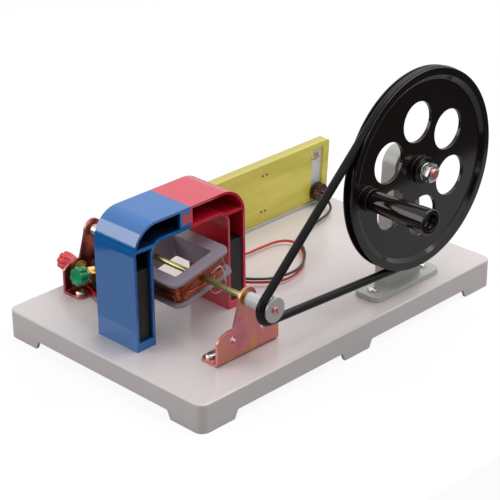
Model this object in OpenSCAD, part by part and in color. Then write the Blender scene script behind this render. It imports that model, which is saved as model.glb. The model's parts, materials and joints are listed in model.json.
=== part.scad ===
// Hand crank generator model for a classroom: a grooved flywheel on a pedestal drives, by a round
// belt, a coil that turns between the legs of an arch magnet. All stand on one moulded base tray.
// Frame: +X along the base's long side, +Y towards the lamp panel, +Z up. The origin is the centre
// of the base's footprint, on the plane where its feet rest.

/* [Base tray] */
// Length of the base along X
base_length = 300; // [280:1:330]
// Width of the base along Y
base_width = 198; // [190:1:220]
// Height of the base from its feet to its top
base_height = 21.5; // [18:0.5:28]
// Wall of the base tray
base_wall = 2.5; // [2:0.1:3.5]
// Corner radius of the base in plan
base_corner = 4; // [3:0.5:8]
// Rounding of the base's upper edge
base_edge = 1.5; // [1:0.1:2.5]
// Height of the feet below the tray's skirt
foot_height = 6.3; // [4:0.1:8]
// Length of a corner foot along its side
foot_length = 30; // [20:1:40]
// Length of the middle foot of a long side
mid_foot_length = 25; // [20:1:40]
// Run of the slope at the side of a foot
foot_slope = 3; // [1:0.5:5]
// Depth of the stiffening ribs under the base's top
rib_depth = 4; // [2:0.5:5]
// Thickness of the stiffening ribs
rib_thick = 2; // [1.5:0.1:3]

/* [Magnet] */
// Distance of the rotor's axis from the base's left end
rotor_inset = 71.5; // [66:0.5:76]
// Distance of the magnet's middle from the base's middle, towards +Y
magnet_y = 3.4; // [2:0.1:6]
// Outer width of the magnet across its legs
magnet_width = 103.5; // [98:0.5:110]
// Depth of the magnet along the rotor's axis
magnet_depth = 40; // [34:0.5:46]
// Height of the magnet above the base
magnet_height = 91.6; // [88:0.5:102]
// Thickness of a magnet leg
magnet_leg = 16.8; // [14:0.1:18]
// Thickness of the magnet's crown
magnet_crown = 16.2; // [15:0.1:21]
// Outer corner radius of the magnet's crown
magnet_outer_r = 21; // [17:0.5:25]
// Inner corner radius of the magnet's arch
magnet_inner_r = 8; // [5:0.5:10]
// Wall of the two plastic magnet housings
magnet_wall = 2; // [1.5:0.1:2.5]
// Thickness of the floor of each magnet leg
magnet_floor = 6; // [5:0.5:8]
// Height of the rib between leg and crown, above the base
magnet_rib_height = 73; // [70:0.5:76]
// Height of the ferrite slab in the blue leg
blue_slab_height = 52; // [40:1:60]
// Height of the ferrite slab in the red leg
red_slab_height = 46; // [40:1:60]
// Distance of the slabs behind the open front of the legs
slab_recess = 3; // [1:0.5:6]
// How far the front of the red leg's slab lies behind the leg's front
red_slab_recess = 1; // [0.5:0.5:6]

/* [Bearing brackets] */
// Height of the rotor's axis above the base
rotor_height = 41.7; // [39:0.1:44]
// Width of a bearing bracket at its foot
bracket_width = 58; // [52:0.5:64]
// Sheet thickness of a bearing bracket
bracket_sheet = 2; // [1.5:0.1:2.5]
// Length of a bracket's foot flange
bracket_flange = 18; // [15:0.5:21]
// Height of the wide part of a bracket
bracket_shoulder = 23.5; // [20:0.5:26]
// Radius of the bracket's rounded shoulders
shoulder_r = 16; // [14:0.5:18]
// Width of the straight top between the rounded shoulders
shoulder_top = 34; // [32:0.5:36]
// Outer radius of the bend between a bracket's plate and flange
bend_r = 3; // [2.6:0.1:4]
// Corner radius of a bracket's foot flange
flange_corner = 5; // [3:0.5:7]
// Width of a bracket's neck at the shoulders
neck_width = 26.8; // [22:0.2:30]
// Radius of a bracket's rounded head
head_r = 8; // [7.5:0.1:10]
// Distance between the two holes in the shoulders
shoulder_span = 29; // [27:0.5:36]
// Height of the shoulder holes above the base
shoulder_hole_height = 16; // [14:0.5:18]
// Diameter of the shoulder holes
shoulder_hole_d = 5; // [4.4:0.1:6]
// Distance of the front bracket's outer face from the base's middle
front_bracket_y = 70.5; // [66:0.5:72]
// Distance of the rear bracket's outer face from the base's middle
rear_bracket_y = 88; // [86:0.5:90]
// Distance between the two foot screws of a bracket
bracket_screw_span = 46.5; // [40:0.5:48]
// Distance of the foot screws from the bracket's outer face
bracket_screw_reach = 12.5; // [10.5:0.5:13]
// Outer diameter of a bearing bush
bush_d = 7.5; // [7:0.1:8.5]
// Flange diameter of a bearing bush
bush_flange_d = 10; // [9.5:0.5:12]

/* [Rotor] */
// Diameter of the rotor's axle
axle_d = 4; // [3.5:0.1:5]
// Width of the coil bobbin across the axle
coil_width = 54; // [48:0.5:56]
// Length of the coil bobbin along the axle
coil_length = 59.6; // [54:0.2:62]
// Height of the coil bobbin over both flanges
coil_height = 19; // [16:0.5:22]
// Corner radius of the bobbin's flanges
coil_corner = 7.5; // [5:0.5:9]
// Thickness of a bobbin flange
flange_thick = 2; // [1.5:0.1:2.5]
// Depth of the winding space, from the bobbin's core to the flange's rim
winding_depth = 7; // [6:0.5:9]
// Wall of the bobbin's core
core_wall = 2.7; // [2:0.1:3.5]
// Distance of the coil's middle from the base's middle, towards -Y
coil_y = 0.8; // [0:0.1:3]
// Tilt of the coil about its axle, as it rests
coil_tilt = 12.4; // [0:0.1:30]
// Number of turns in the winding's outer layer
winding_turns = 16; // [12:2:18]
// Diameter of the winding's wire
wire_d = 0.45; // [0.3:0.01:0.46]

/* [Slip rings and brushes] */
// Distance of the slip rings' middle from the base's middle, towards +Y
rings_y = 51; // [49:0.5:53]
// Outer diameter of a slip ring
ring_d = 16; // [14:0.5:18]
// Width of a slip ring
ring_width = 6; // [5:0.5:7]
// Distance between the middles of the two slip rings
ring_pitch = 12; // [10:0.5:13]
// Outer diameter of the insulating sleeve under the slip rings
ring_sleeve_d = 12; // [10:0.5:13]
// Length of the insulating sleeve
ring_sleeve_length = 26; // [24:0.5:28]
// Thickness of a brush strip
brush_thick = 0.5; // [0.4:0.05:0.8]
// Width of a brush strip
brush_width = 5; // [4:0.5:5.5]

/* [Belt drive] */
// Distance of the belt's plane from the base's middle, towards -Y
belt_y = 91; // [90:0.5:94]
// Diameter of the round belt
belt_d = 6; // [5:0.1:6.4]
// Radius of the belt's middle line on the small pulley
pulley_belt_r = 9.5; // [9:0.1:11]
// Diameter of the small pulley's front disc
pulley_disc_d = 17.6; // [17:0.1:19]
// Thickness of the small pulley's discs
pulley_disc = 1.5; // [1:0.1:2]
// Diameter of the white spacer between pulley and bracket
spacer_d = 10; // [9:0.5:12]
// Diameter of the collar before the rear bracket
collar_d = 10; // [9:0.5:12]
// Length of the collar before the rear bracket
collar_length = 6; // [5:0.5:7]
// Gap between the belt and its grooves
belt_gap = 0.3; // [0.2:0.05:0.4]

/* [Flywheel] */
// Distance of the flywheel's axis from the base's right end
wheel_inset = 80; // [76:0.5:84]
// Height of the flywheel's axis above the base
wheel_height = 94.8; // [92:0.1:100]
// Outer diameter of the flywheel
wheel_d = 147; // [142:0.5:152]
// Width of the flywheel's rim
rim_width = 9; // [8.4:0.1:11]
// Depth of the belt's middle line below the rim's edge
groove_sink = 2.5; // [2:0.1:3]
// Thickness of the flywheel's web
web_thick = 3; // [2.5:0.1:4]
// Depth of the flywheel's rim, from its edge to the dished web
rim_depth = 8.5; // [8:0.5:11.5]
// Run of the sloped wall between web and rim
dish_slope = 3; // [1:0.5:3]
// Diameter of the six holes in the web
web_hole_d = 29.5; // [24:0.5:30]
// Radius of the circle on which the six holes lie
web_hole_r = 36.5; // [35:0.5:38]
// Angle of the first hole
web_hole_angle = 36; // [30:0.5:42]
// Diameter of the flywheel's hub
hub_d = 20; // [18:0.5:24]
// Distance of the hub's front from the belt's plane
hub_front = 6; // [5:0.1:7]
// Diameter of the flywheel's axle
wheel_axle_d = 8; // [7:0.1:8.5]
// Outer diameter of the bush in the hub
wheel_bush_d = 11; // [10.5:0.5:12]
// Flats of the nuts on the flywheel's axle
axle_nut_flats = 12; // [11:0.5:14]
// Thickness of a nut on the flywheel's axle
axle_nut_thick = 3; // [2.5:0.1:3.5]
// Diameter of the washers on the flywheel's axle
axle_washer_d = 13; // [12:0.5:18]
// Thickness of these washers
axle_washer = 1.2; // [1:0.1:1.5]

/* [Crank] */
// Distance of the crank pin from the inner edge of the flywheel's rim
crank_inset = 9; // [8.5:0.5:11]
// Angle of the crank pin about the flywheel's axis, as it rests
crank_angle = 184; // [180:0.5:190]
// Diameter of the crank pin
crank_pin_d = 6; // [5:0.1:6.5]
// Diameter of the boss that holds the crank pin
crank_boss_d = 17; // [15:0.5:18]
// Height of the crank boss in front of the web
crank_boss_height = 6; // [5:0.5:8]
// Length of the grip
grip_length = 50; // [44:0.5:56]
// Diameter of the grip at the flywheel
grip_root_d = 14; // [13:0.5:15]
// Diameter of the grip at its free end
grip_end_d = 18; // [16:0.5:19]
// Diameter of the recess in the grip's free end
grip_recess_d = 12; // [11:0.5:12.5]
// Depth of the recess in the grip's free end
grip_recess = 8; // [6:0.5:10]

/* [Pedestal] */
// Length of the pedestal's foot
pedestal_foot_length = 71; // [66:0.5:78]
// Depth of the pedestal's foot
pedestal_foot_depth = 23.5; // [21:0.5:26]
// Thickness of the pedestal's foot
pedestal_foot_thick = 4; // [3:0.1:5]
// Corner radius of the pedestal's foot
pedestal_foot_corner = 6; // [4:0.5:8]
// Width of the pedestal's column at its foot
column_width = 36; // [32:0.5:38]
// Width of the column's fully round top
column_top_width = 26; // [22:0.5:30]
// Height up to which the column keeps its full width
column_root = 8; // [4:0.5:12]
// Depth of the pedestal's column
column_depth = 12.5; // [10:0.5:14]
// Distance of the column's middle from the base's middle, towards -Y
column_y = 74.75; // [74:0.25:76]
// Distance between the two foot screws of the pedestal
pedestal_screw_span = 54; // [52:0.5:58]

/* [Lamp panel] */
// Length of the panel along X
panel_length = 140; // [134:0.5:144]
// Height of the panel
panel_height = 51; // [50:0.5:56]
// Depth of the panel's cover
panel_depth = 8; // [7:0.5:10]
// Wall of the panel's cover
panel_wall = 2.5; // [2:0.1:3]
// Thickness of the panel's front face
panel_face = 2; // [1.5:0.1:2.5]
// Distance of the panel's right end from the base's right end
panel_inset = 5; // [3:0.5:8]
// Distance of the panel's lower front edge from the base's middle
panel_y = 64.3; // [62:0.1:66]
// Lean of the panel towards -Y
panel_lean = 4; // [0:0.5:6]
// Width of the two windows in the panel
window_width = 13; // [11:0.5:13]
// Height of the two windows in the panel
window_height = 44; // [40:0.5:46]
// Distance of a window's middle from the panel's end
window_inset = 12.5; // [12:0.5:16]
// Diameter of a lamp holder's body
holder_d = 15; // [14:0.5:15]
// Length of a lamp holder's body in front of the panel
holder_length = 6; // [5:0.5:8]
// Height of the lamps above the panel's lower edge
lamp_height = 9.5; // [9.5:0.5:11]
// Diameter of a lamp bulb
bulb_d = 11; // [10:0.5:11]
// Thickness of the rail under the panel
rail_thick = 1.5; // [1:0.1:2]

/* [Terminals] */
// Largest diameter of a terminal knob
knob_d = 14; // [12:0.5:14.5]
// Diameter of a terminal knob at its inner end
knob_inner_d = 9; // [8:0.5:10]
// Length of the red terminal's knob
red_knob_length = 11.5; // [9:0.5:13]
// Length of the green terminal's knob
green_knob_length = 8.6; // [8:0.2:13]
// Length of a knob's fluted part
flute_length = 6.2; // [5:0.2:7]
// Diameter of a terminal post
post_d = 4; // [3.5:0.1:4.2]
// Tilt of the green terminal's post
green_tilt = 14; // [5:1:20]
// Flats of the green terminal's brass base
green_base_flats = 11; // [9:0.5:11]
// Length of the green terminal's brass base
green_base_length = 8.6; // [6:0.2:9]
// Flange diameter of the red terminal's insulators
insulator_d = 11; // [10:0.5:12]
// Diameter of the leads
lead_d = 2; // [1.4:0.1:2]

/* [Fasteners] */
// Diameter of the screws that hold the pieces to the base
screw_d = 4; // [3.5:0.1:4]
// Head diameter of these screws
screw_head_d = 8; // [7:0.5:8.5]
// Head height of these screws
screw_head_h = 2.6; // [2:0.1:3]
// Width across the flats of the nuts under the base
nut_flats = 7; // [6.5:0.1:8]
// Thickness of the nuts under the base
nut_thick = 3.2; // [2.4:0.1:3.6]

/* [Hidden] */
$fn = 64;
// Overrun of every cut past the faces that it opens
over = 1;
// Radial clearance of a shaft in its bush
running_fit = 0.05;
// Gap between a turning piece and what it turns against
side_gap = 0.3;
// Gap between a clamped face and the loose washer before it
clamp_gap = 0.1;
// Radial clearance of a screw in its hole
screw_play = 0.2;

// Places that follow from the sizes above
top_z = base_height;
rotor_x = rotor_inset - base_length / 2;
rotor_z = top_z + rotor_height;
wheel_x = base_length / 2 - wheel_inset;
panel_end_x = base_length / 2 - panel_inset;
axle_r = axle_d / 2;
belt_r = belt_d / 2;
groove_r = belt_r + belt_gap;
wheel_r = wheel_d / 2;
dish_r = wheel_r - rim_depth;
crank_radius = dish_r - crank_inset;
wheel_z = top_z + wheel_height;
wheel_belt_r = wheel_r - groove_sink;
wheel_axle_r = wheel_axle_d / 2;
magnet_front = magnet_y - magnet_depth / 2;
magnet_back = magnet_y + magnet_depth / 2;
leg_middle = (magnet_width - magnet_leg) / 2;

// Solid from y0 to y1 whose outline is drawn in X and Z
module along_y(y0, y1) {
    translate([0, y1, 0])
        rotate([90, 0, 0])
            linear_extrude(y1 - y0) children();
}

// Turns what stands on the XY plane so that its Z points to the viewer's side, -Y
module facing_front(x, y, z) {
    translate([x, y, z]) rotate([90, 0, 0]) children();
}

// Round bar or tube along Y from y0 to y1
module bar_y(r, y0, y1, bore = 0) {
    along_y(y0, y1) difference() {
        circle(r);
        if (bore > 0) circle(bore);
    }
}

// Rectangle with round corners, centred
module rounded_rect(l, w, r) {
    square([l - 2 * r, w], center = true);
    square([l, w - 2 * r], center = true);
    for (sx = [-1, 1], sy = [-1, 1])
        translate([sx * (l / 2 - r), sy * (w / 2 - r)]) circle(r);
}

// Rectangle that stands on the X axis with its two upper corners round
module round_topped(w, h, r) {
    translate([-w / 2, 0]) square([w, h - r]);
    translate([r - w / 2, 0]) square([w - 2 * r, h]);
    for (s = [-1, 1])
        translate([s * (w / 2 - r), h - r]) circle(r);
}

// Screw that hangs below z = 0 with its head above; one slot, or two that cross
head_outline_shares = [[1, 0], [1, 0.45], [0.82, 0.86], [0.5, 1], [0, 1]];
slot_width_share = 0.24;
slot_depth_share = 0.5;
cross_reach_share = 0.62;
module screw(length, slots, d = screw_d, head_d = screw_head_d, head_h = screw_head_h) {
    reach = head_d / 2 * (slots > 1 ? cross_reach_share : 1) + (slots > 1 ? 0 : over);
    width = head_d / 2 * slot_width_share;
    difference() {
        rotate_extrude()
            polygon([[0, 0], for (p = head_outline_shares) [p[0] * head_d / 2, p[1] * head_h]]);
        for (a = [1 : slots])
            rotate(a * 90)
                translate([-reach, -width / 2, head_h * (1 - slot_depth_share)])
                    cube([2 * reach, width, head_h]);
    }
    translate([0, 0, -length]) cylinder(h = length, d = d);
}

// Hexagon nut on z = 0 with its corners chamfered
nut_chamfer_share = 0.16;
nut_corner_share = 1.16;
module hex_nut(flats, bore_r, h) {
    corner = flats / 2 * nut_corner_share;
    bevel = h * nut_chamfer_share;
    difference() {
        intersection() {
            cylinder(h = h, r = flats / sqrt(3), $fn = 6);
            rotate_extrude()
                polygon([[0, 0], [flats / 2, 0], [corner, bevel], [corner, h - bevel],
                         [flats / 2, h], [0, h]]);
        }
        translate([0, 0, -over]) cylinder(h = h + 2 * over, r = bore_r);
    }
}

// Tube swept along points: a loop without ends, or with its ends square to the last stretches
least_slant = 0.05;
function tangent(p, i, loop) =
    let (n = len(p), q = loop ? p[(i + 1) % n] - p[(i + n - 1) % n]
        : p[min(i + 1, n - 1)] - p[max(i - 1, 0)]) q / norm(q);
function ring(p, i, r, sides, loop) =
    let (t = tangent(p, i, loop), s0 = cross(t, [0, 0, 1]),
         s = norm(s0) < least_slant ? [0, -1, 0] : s0 / norm(s0), u = cross(s, t))
    [for (k = [0 : sides - 1]) p[i] + r * (cos(k * 360 / sides) * s + sin(k * 360 / sides) * u)];
module tube(p, d, sides, loop = false) {
    n = len(p);
    all = n * sides;
    last = all - sides;
    points = [for (i = [0 : n - 1]) each ring(p, i, d / 2, sides, loop)];
    walls = [for (i = [0 : n - (loop ? 1 : 2)], k = [0 : sides - 1])
        let (a = i * sides + k, b = i * sides + (k + 1) % sides)
        each [[a, b, (a + sides) % all], [b, (b + sides) % all, (a + sides) % all]]];
    caps = [for (k = [1 : sides - 2]) each [[0, k + 1, k], [last, last + k, last + k + 1]]];
    polyhedron(points, loop ? walls : concat(walls, caps));
}

// Base tray: a thin moulded shell, open below, on six feet
rib_x = [rotor_x, 0, wheel_x];
rib_y_shares = [-1 / 6, 1 / 6];
magnet_screw_share = 0.25;
rail_screw_x = [for (s = [-1, 1]) panel_end_x - panel_length / 2 + s * panel_length / 3];
rail_depth = 20;
rail_screw_share = 0.66;
rail_screw_y = panel_y + rail_depth * rail_screw_share;
bracket_screw_x = [for (s = [-1, 1]) rotor_x + s * bracket_screw_span / 2];
bracket_screw_y = [bracket_screw_reach - front_bracket_y, rear_bracket_y - bracket_screw_reach];
pedestal_screw_x = [for (s = [-1, 1]) wheel_x + s * pedestal_screw_span / 2];
magnet_screw_x = [for (s = [-1, 1]) rotor_x + s * leg_middle];
magnet_screw_y = [for (s = [-1, 1]) magnet_y + s * magnet_depth * magnet_screw_share];
nut_places = concat(
    [for (x = bracket_screw_x, y = bracket_screw_y) [x, y]],
    [for (x = pedestal_screw_x) [x, -column_y]],
    [for (x = rail_screw_x) [x, rail_screw_y]]);
magnet_screw_places = [for (x = magnet_screw_x, y = magnet_screw_y) [x, y]];
inner_top = top_z - base_wall;

module notch(from, to) {
    translate([0, -over])
        polygon([[from, 0], [from, over], [from + foot_slope, foot_height + over],
                 [to - foot_slope, foot_height + over], [to, over], [to, 0]]);
}

module edge_waste(e) {
    difference() {
        square(e + over);
        circle(e);
    }
}

// Block with round corners in plan and a rounded upper edge
module tray_block(l, w, h, r, e) {
    difference() {
        linear_extrude(h) rounded_rect(l, w, r);
        translate([0, 0, h - e])
            for (a = [0, 180])
                rotate(a) {
                    translate([r - l / 2, w / 2 - e, 0])
                        rotate([90, 0, 90]) linear_extrude(l - 2 * r) edge_waste(e);
                    translate([l / 2 - e, w / 2 - r, 0])
                        rotate([90, 0, 0]) linear_extrude(w - 2 * r) edge_waste(e);
                    for (s = [-1, 1])
                        translate([s * (l / 2 - r), w / 2 - r, 0])
                            rotate(45 - s * 45) rotate_extrude(angle = 90)
                                translate([r - e, 0]) edge_waste(e);
                }
    }
}

module base_tray() {
    half_l = base_length / 2;
    half_w = base_width / 2;
    half_mid = mid_foot_length / 2;
    color([0.84, 0.82, 0.81]) difference() {
        union() {
            difference() {
                tray_block(base_length, base_width, base_height, base_corner, base_edge);
                translate([0, 0, -over])
                    linear_extrude(inner_top + over)
                        rounded_rect(base_length - 2 * base_wall, base_width - 2 * base_wall,
                                     base_corner - base_wall);
            }
            for (x = rib_x)
                translate([x - rib_thick / 2, base_wall - half_w - over / 2, inner_top - rib_depth])
                    cube([rib_thick, base_width - 2 * base_wall + over, rib_depth + over / 2]);
            for (share = rib_y_shares)
                translate([base_wall - half_l - over / 2, base_width * share - rib_thick / 2,
                           inner_top - rib_depth])
                    cube([base_length - 2 * base_wall + over, rib_thick, rib_depth + over / 2]);
        }
        along_y(-half_w - over, half_w + over) {
            notch(foot_length - half_l, -half_mid);
            notch(half_mid, half_l - foot_length);
        }
        rotate(90)
            along_y(-half_l - over, half_l + over) notch(foot_length - half_w, half_w - foot_length);
        for (p = concat(nut_places, magnet_screw_places))
            translate([p[0], p[1], inner_top - over])
                cylinder(h = base_wall + 2 * over, r = screw_d / 2 + screw_play);
    }
}

// Magnet: two plastic housings that meet above the rotor, each with a ferrite slab in its leg
arch_width = magnet_width - 2 * magnet_leg;
arch_height = magnet_height - magnet_crown;
dovetail_reach = 7.3;
dovetail_root = 5;
dovetail_tip = 8;
dovetail_z = magnet_height - magnet_crown / 2;
magnet_thread_share = 0.75;
magnet_thread = magnet_floor * magnet_thread_share;

module arch_outline() {
    difference() {
        round_topped(magnet_width, magnet_height, magnet_outer_r);
        translate([0, -over]) round_topped(arch_width, arch_height + over, magnet_inner_r);
    }
}

module arch_hollow() {
    difference() {
        translate([0, magnet_floor])
            round_topped(magnet_width - 2 * magnet_wall, magnet_height - magnet_floor - magnet_wall,
                         magnet_outer_r - magnet_wall);
        translate([0, -over])
            round_topped(arch_width + 2 * magnet_wall, arch_height + magnet_wall + over,
                         magnet_inner_r + magnet_wall);
        translate([-magnet_width / 2, magnet_rib_height]) square([magnet_width, magnet_wall]);
    }
}

module dovetail() {
    translate([0, dovetail_z])
        polygon([[0, -dovetail_root / 2], [0, dovetail_root / 2],
                 [-dovetail_reach, dovetail_tip / 2], [-dovetail_reach, -dovetail_tip / 2]]);
}

module magnet_half(side) {
    end_wall = side < 0 ? dovetail_reach + magnet_wall : magnet_wall;
    difference() {
        translate([rotor_x, 0, top_z]) {
            along_y(magnet_front, magnet_back) {
                intersection() {
                    arch_outline();
                    translate([side < 0 ? -magnet_width : 0, -over])
                        square([magnet_width, magnet_height + 2 * over]);
                }
                if (side > 0) dovetail();
            }
        }
        translate([rotor_x, 0, top_z]) {
            along_y(magnet_front - over, magnet_back - magnet_wall)
                intersection() {
                    arch_hollow();
                    translate([side < 0 ? -magnet_width - end_wall : end_wall, 0])
                        square([magnet_width, magnet_height]);
                }
            if (side < 0) along_y(magnet_front - over, magnet_back + over) dovetail();
        }
        for (p = magnet_screw_places)
            translate([p[0], p[1], top_z - over]) cylinder(h = magnet_thread + over, r = screw_d / 2);
    }
}
module magnet_housing_blue() {
    color([0.10, 0.32, 0.62]) magnet_half(-1);
}

module magnet_housing_red() {
    color([0.80, 0.08, 0.16]) magnet_half(1);
}

module ferrite_slabs() {
    width = magnet_leg - 2 * magnet_wall - 2 * clamp_gap;
    for (slab = [[-1, blue_slab_height, slab_recess], [1, red_slab_height, red_slab_recess]])
        color([0.13, 0.13, 0.14])
            translate([rotor_x + slab[0] * leg_middle - width / 2, magnet_front + slab[2],
                       top_z + magnet_floor])
                cube([width, magnet_depth - magnet_wall - slab[2], slab[1]]);
}

module magnet_screws() {
    for (p = magnet_screw_places)
        color([0.75, 0.75, 0.74])
            translate([p[0], p[1], inner_top]) rotate([180, 0, 0]) screw(base_wall + magnet_thread, 2);
}

// Bearing brackets: one sheet stamping used twice, with its foot flange towards +Y
module bracket_outline() {
    half = bracket_width / 2;
    corner_z = bracket_shoulder - shoulder_r;
    translate([-half, 0]) square([bracket_width, max(corner_z, bend_r)]);
    translate([-shoulder_top / 2, 0]) square([shoulder_top, bracket_shoulder]);
    intersection() {
        translate([-half, 0]) square([bracket_width, bracket_shoulder]);
        for (s = [-1, 1])
            translate([s * shoulder_top / 2, corner_z]) circle(shoulder_r);
    }
    polygon([[-neck_width / 2, 0], [neck_width / 2, 0], [neck_width / 2, bracket_shoulder],
             [head_r, rotor_height], [-head_r, rotor_height], [-neck_width / 2, bracket_shoulder]]);
    translate([0, rotor_height]) circle(head_r);
}

module bracket() {
    color([0.80, 0.60, 0.42]) difference() {
        union() {
            intersection() {
                along_y(0, bracket_sheet) bracket_outline();
                translate([-bracket_width, 0, bend_r])
                    cube([2 * bracket_width, bracket_sheet, rotor_height + bracket_width]);
            }
            rotate([90, 0, 90])
                translate([0, 0, -bracket_width / 2])
                    linear_extrude(bracket_width)
                        intersection() {
                            square(bend_r);
                            translate([bend_r, bend_r])
                                difference() {
                                    circle(bend_r);
                                    circle(bend_r - bracket_sheet);
                                }
                        }
            intersection() {
                linear_extrude(bracket_sheet)
                    rounded_rect(bracket_width, 2 * bracket_flange, flange_corner);
                translate([-bracket_width, bend_r, -over])
                    cube([2 * bracket_width, bracket_flange, bracket_sheet + 2 * over]);
            }
        }
        translate([0, 0, rotor_height]) bar_y(bush_d / 2, -over, bracket_sheet + over);
        for (s = [-1, 1]) {
            translate([s * shoulder_span / 2, 0, shoulder_hole_height])
                bar_y(shoulder_hole_d / 2, -over, bracket_sheet + over);
            translate([s * bracket_screw_span / 2, bracket_screw_reach, -over])
                cylinder(h = bracket_sheet + 2 * over, r = screw_d / 2 + screw_play);
        }
    }
}

module front_bracket() {
    translate([rotor_x, -front_bracket_y, top_z]) bracket();
}

module rear_bracket() {
    translate([rotor_x, rear_bracket_y, top_z]) rotate(180) bracket();
}

nut_tail = nut_thick + over;
module bracket_screws() {
    for (x = bracket_screw_x, y = bracket_screw_y)
        color([0.82, 0.82, 0.80])
            translate([x, y, top_z + bracket_sheet]) screw(bracket_sheet + base_wall + nut_tail, 2);
}

module base_nuts() {
    for (p = nut_places)
        color([0.75, 0.75, 0.74])
            translate([p[0], p[1], inner_top - nut_thick]) hex_nut(nut_flats, screw_d / 2, nut_thick);
}

bush_flange = 1;
bush_front = front_bracket_y + bush_flange;
bush_rear = rear_bracket_y + bush_flange;
module bearing_bushes() {
    bore = axle_r + running_fit;
    color([0.78, 0.62, 0.30]) translate([rotor_x, 0, rotor_z]) {
        bar_y(bush_flange_d / 2, -bush_front, -front_bracket_y, bore);
        bar_y(bush_d / 2, -front_bracket_y, bracket_sheet + bush_flange - front_bracket_y, bore);
        bar_y(bush_flange_d / 2, rear_bracket_y, bush_rear, bore);
        bar_y(bush_d / 2, rear_bracket_y - bracket_sheet - bush_flange, rear_bracket_y, bore);
    }
}

// Rotor: all of it turns with the axle, drawn with the coil level and then tilted as it rests
module on_rotor() {
    translate([rotor_x, 0, rotor_z]) rotate([0, -coil_tilt, 0]) children();
}

pulley_half = groove_r + pulley_disc;
pulley_front = belt_y + pulley_half;
pulley_back = belt_y - pulley_half;
axle_front = pulley_front - bush_flange;
collar_back = rear_bracket_y - bracket_sheet - bush_flange - side_gap;
module rotor_axle() {
    color([0.80, 0.76, 0.52]) on_rotor() difference() {
        bar_y(axle_r, -axle_front, bush_rear + bush_flange);
        bar_y(pulley_screw_d / 2, -axle_front - over, pulley_screw_length - axle_front);
    }
}

module axle_collar() {
    color([0.75, 0.75, 0.74])
        on_rotor() bar_y(collar_d / 2, collar_back - collar_length, collar_back, axle_r);
}

// Coil bobbin: two flanges with a window, joined by the core that the wire is wound on
window_l = coil_width - 2 * (winding_depth + core_wall);
window_w = coil_length - 2 * (winding_depth + core_wall);
window_corner_share = 0.5;
window_corner = core_wall * window_corner_share;
core_l = window_l + 2 * core_wall;
core_w = window_w + 2 * core_wall;
core_corner = window_corner + core_wall;
core_half_h = coil_height / 2 - flange_thick;
module coil_bobbin() {
    color([0.45, 0.45, 0.47]) on_rotor() translate([0, -coil_y, 0]) difference() {
        union() {
            for (z = [-coil_height / 2, core_half_h])
                translate([0, 0, z])
                    linear_extrude(flange_thick) rounded_rect(coil_width, coil_length, coil_corner);
            translate([0, 0, -core_half_h])
                linear_extrude(2 * core_half_h) rounded_rect(core_l, core_w, core_corner);
        }
        translate([0, 0, -coil_height / 2 - over])
            linear_extrude(coil_height + 2 * over) rounded_rect(window_l, window_w, window_corner);
        bar_y(axle_r, -coil_length, coil_length);
    }
}

// Winding: a plain core and, over it, the outer layer as one unbroken wire with a gap for the axle
wire_r = wire_d / 2;
wire_step = 0.8;
wire_clear = 0.3;
winding_inset = 2;
wind_a = coil_width / 2 - winding_inset - wire_r;
wind_b = coil_length / 2 - winding_inset - wire_r;
wind_corner = coil_corner - winding_inset;
wind_top = core_half_h - wire_r - wire_clear / 2;
wind_low = axle_r + wire_r + wire_clear;
wind_sink = wire_step + wire_r + wire_clear;
half_turns = winding_turns / 2;
loop_rings = 24;
wire_bend = 0.5;
wire_tail = 1.5;
wire_end_y = wind_b - wind_corner - wire_tail;

function side_z(k) = wind_top * (1 - 2 * k / (winding_turns - 1));
function end_z(k) = k < half_turns
    ? wind_top - k * (wind_top - wind_low) / (half_turns - 1)
    : -wind_low - (k - half_turns) * (wind_top - wind_low) / (half_turns - 1);
function inset(k) = wire_step * (k < half_turns ? k % 2 : (k + 1) % 2);
function turn_angle(i) = floor(i / 6) * 90 + max(i % 6 - 1, 0) * 22.5;
function on_turn(i, sink, z) =
    let (a = turn_angle(i), c = floor(i / 6), round_corner = i % 6 > 0,
         sx = c == 0 || c == 3 ? 1 : -1, sy = c < 2 ? 1 : -1, r = wind_corner - sink)
    round_corner
        ? [sx * (wind_a - wind_corner) + r * cos(a), sy * (wind_b - wind_corner) + r * sin(a), z]
        : [(wind_a - sink) * cos(a), (wind_b - sink) * sin(a), z];
function wire_z(k, i) =
    let (w = pow(cos(turn_angle(i)), 2)) w * side_z(i == 0 ? k - 1 / 2 : k) + (1 - w) * end_z(k);
function wire_sink(k, i) = i == 0 ? (inset(k - 1) + inset(k)) / 2 : inset(k);
wire_start = [for (p = [[wind_sink, 0], [wire_bend, 0],
                        [wire_bend * (1 - sqrt(1 / 2)), wire_bend * (1 - sqrt(1 / 2))], [0, wire_bend]])
    [wind_a - p[0], wire_end_y + p[1], side_z(0)]];
wire_path = concat(
    wire_start,
    [for (k = [0 : winding_turns - 1], i = [k == 0 ? 1 : 0 : loop_rings - 1])
        on_turn(i, wire_sink(k, i), wire_z(k, i))],
    [for (i = [len(wire_start) - 1 : -1 : 0]) [wire_start[i][0], -wire_start[i][1], -wire_start[i][2]]]);
function least_gap(p, skip) =
    min([for (i = [0 : len(p) - 1], j = [i + skip : 1 : len(p) - 1]) norm(p[i] - p[j])]) - wire_d;

module coil_winding() {
    echo(str("least gap in the winding, mm: ", least_gap(wire_path, loop_rings / 2)));
    color([0.72, 0.38, 0.22])
        on_rotor() translate([0, -coil_y, 0]) tube(wire_path, wire_d, 6);
}

module winding_core() {
    length = 2 * (wind_a - wind_sink);
    width = 2 * (wind_b - wind_sink);
    color([0.60, 0.30, 0.18]) on_rotor() translate([0, -coil_y, 0]) difference() {
        translate([0, 0, -core_half_h])
            linear_extrude(2 * core_half_h)
                difference() {
                    rounded_rect(length, width, wind_corner - wind_sink);
                    rounded_rect(core_l, core_w, core_corner);
                }
        bar_y(axle_r + wire_clear, -coil_length, coil_length);
    }
}

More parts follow.
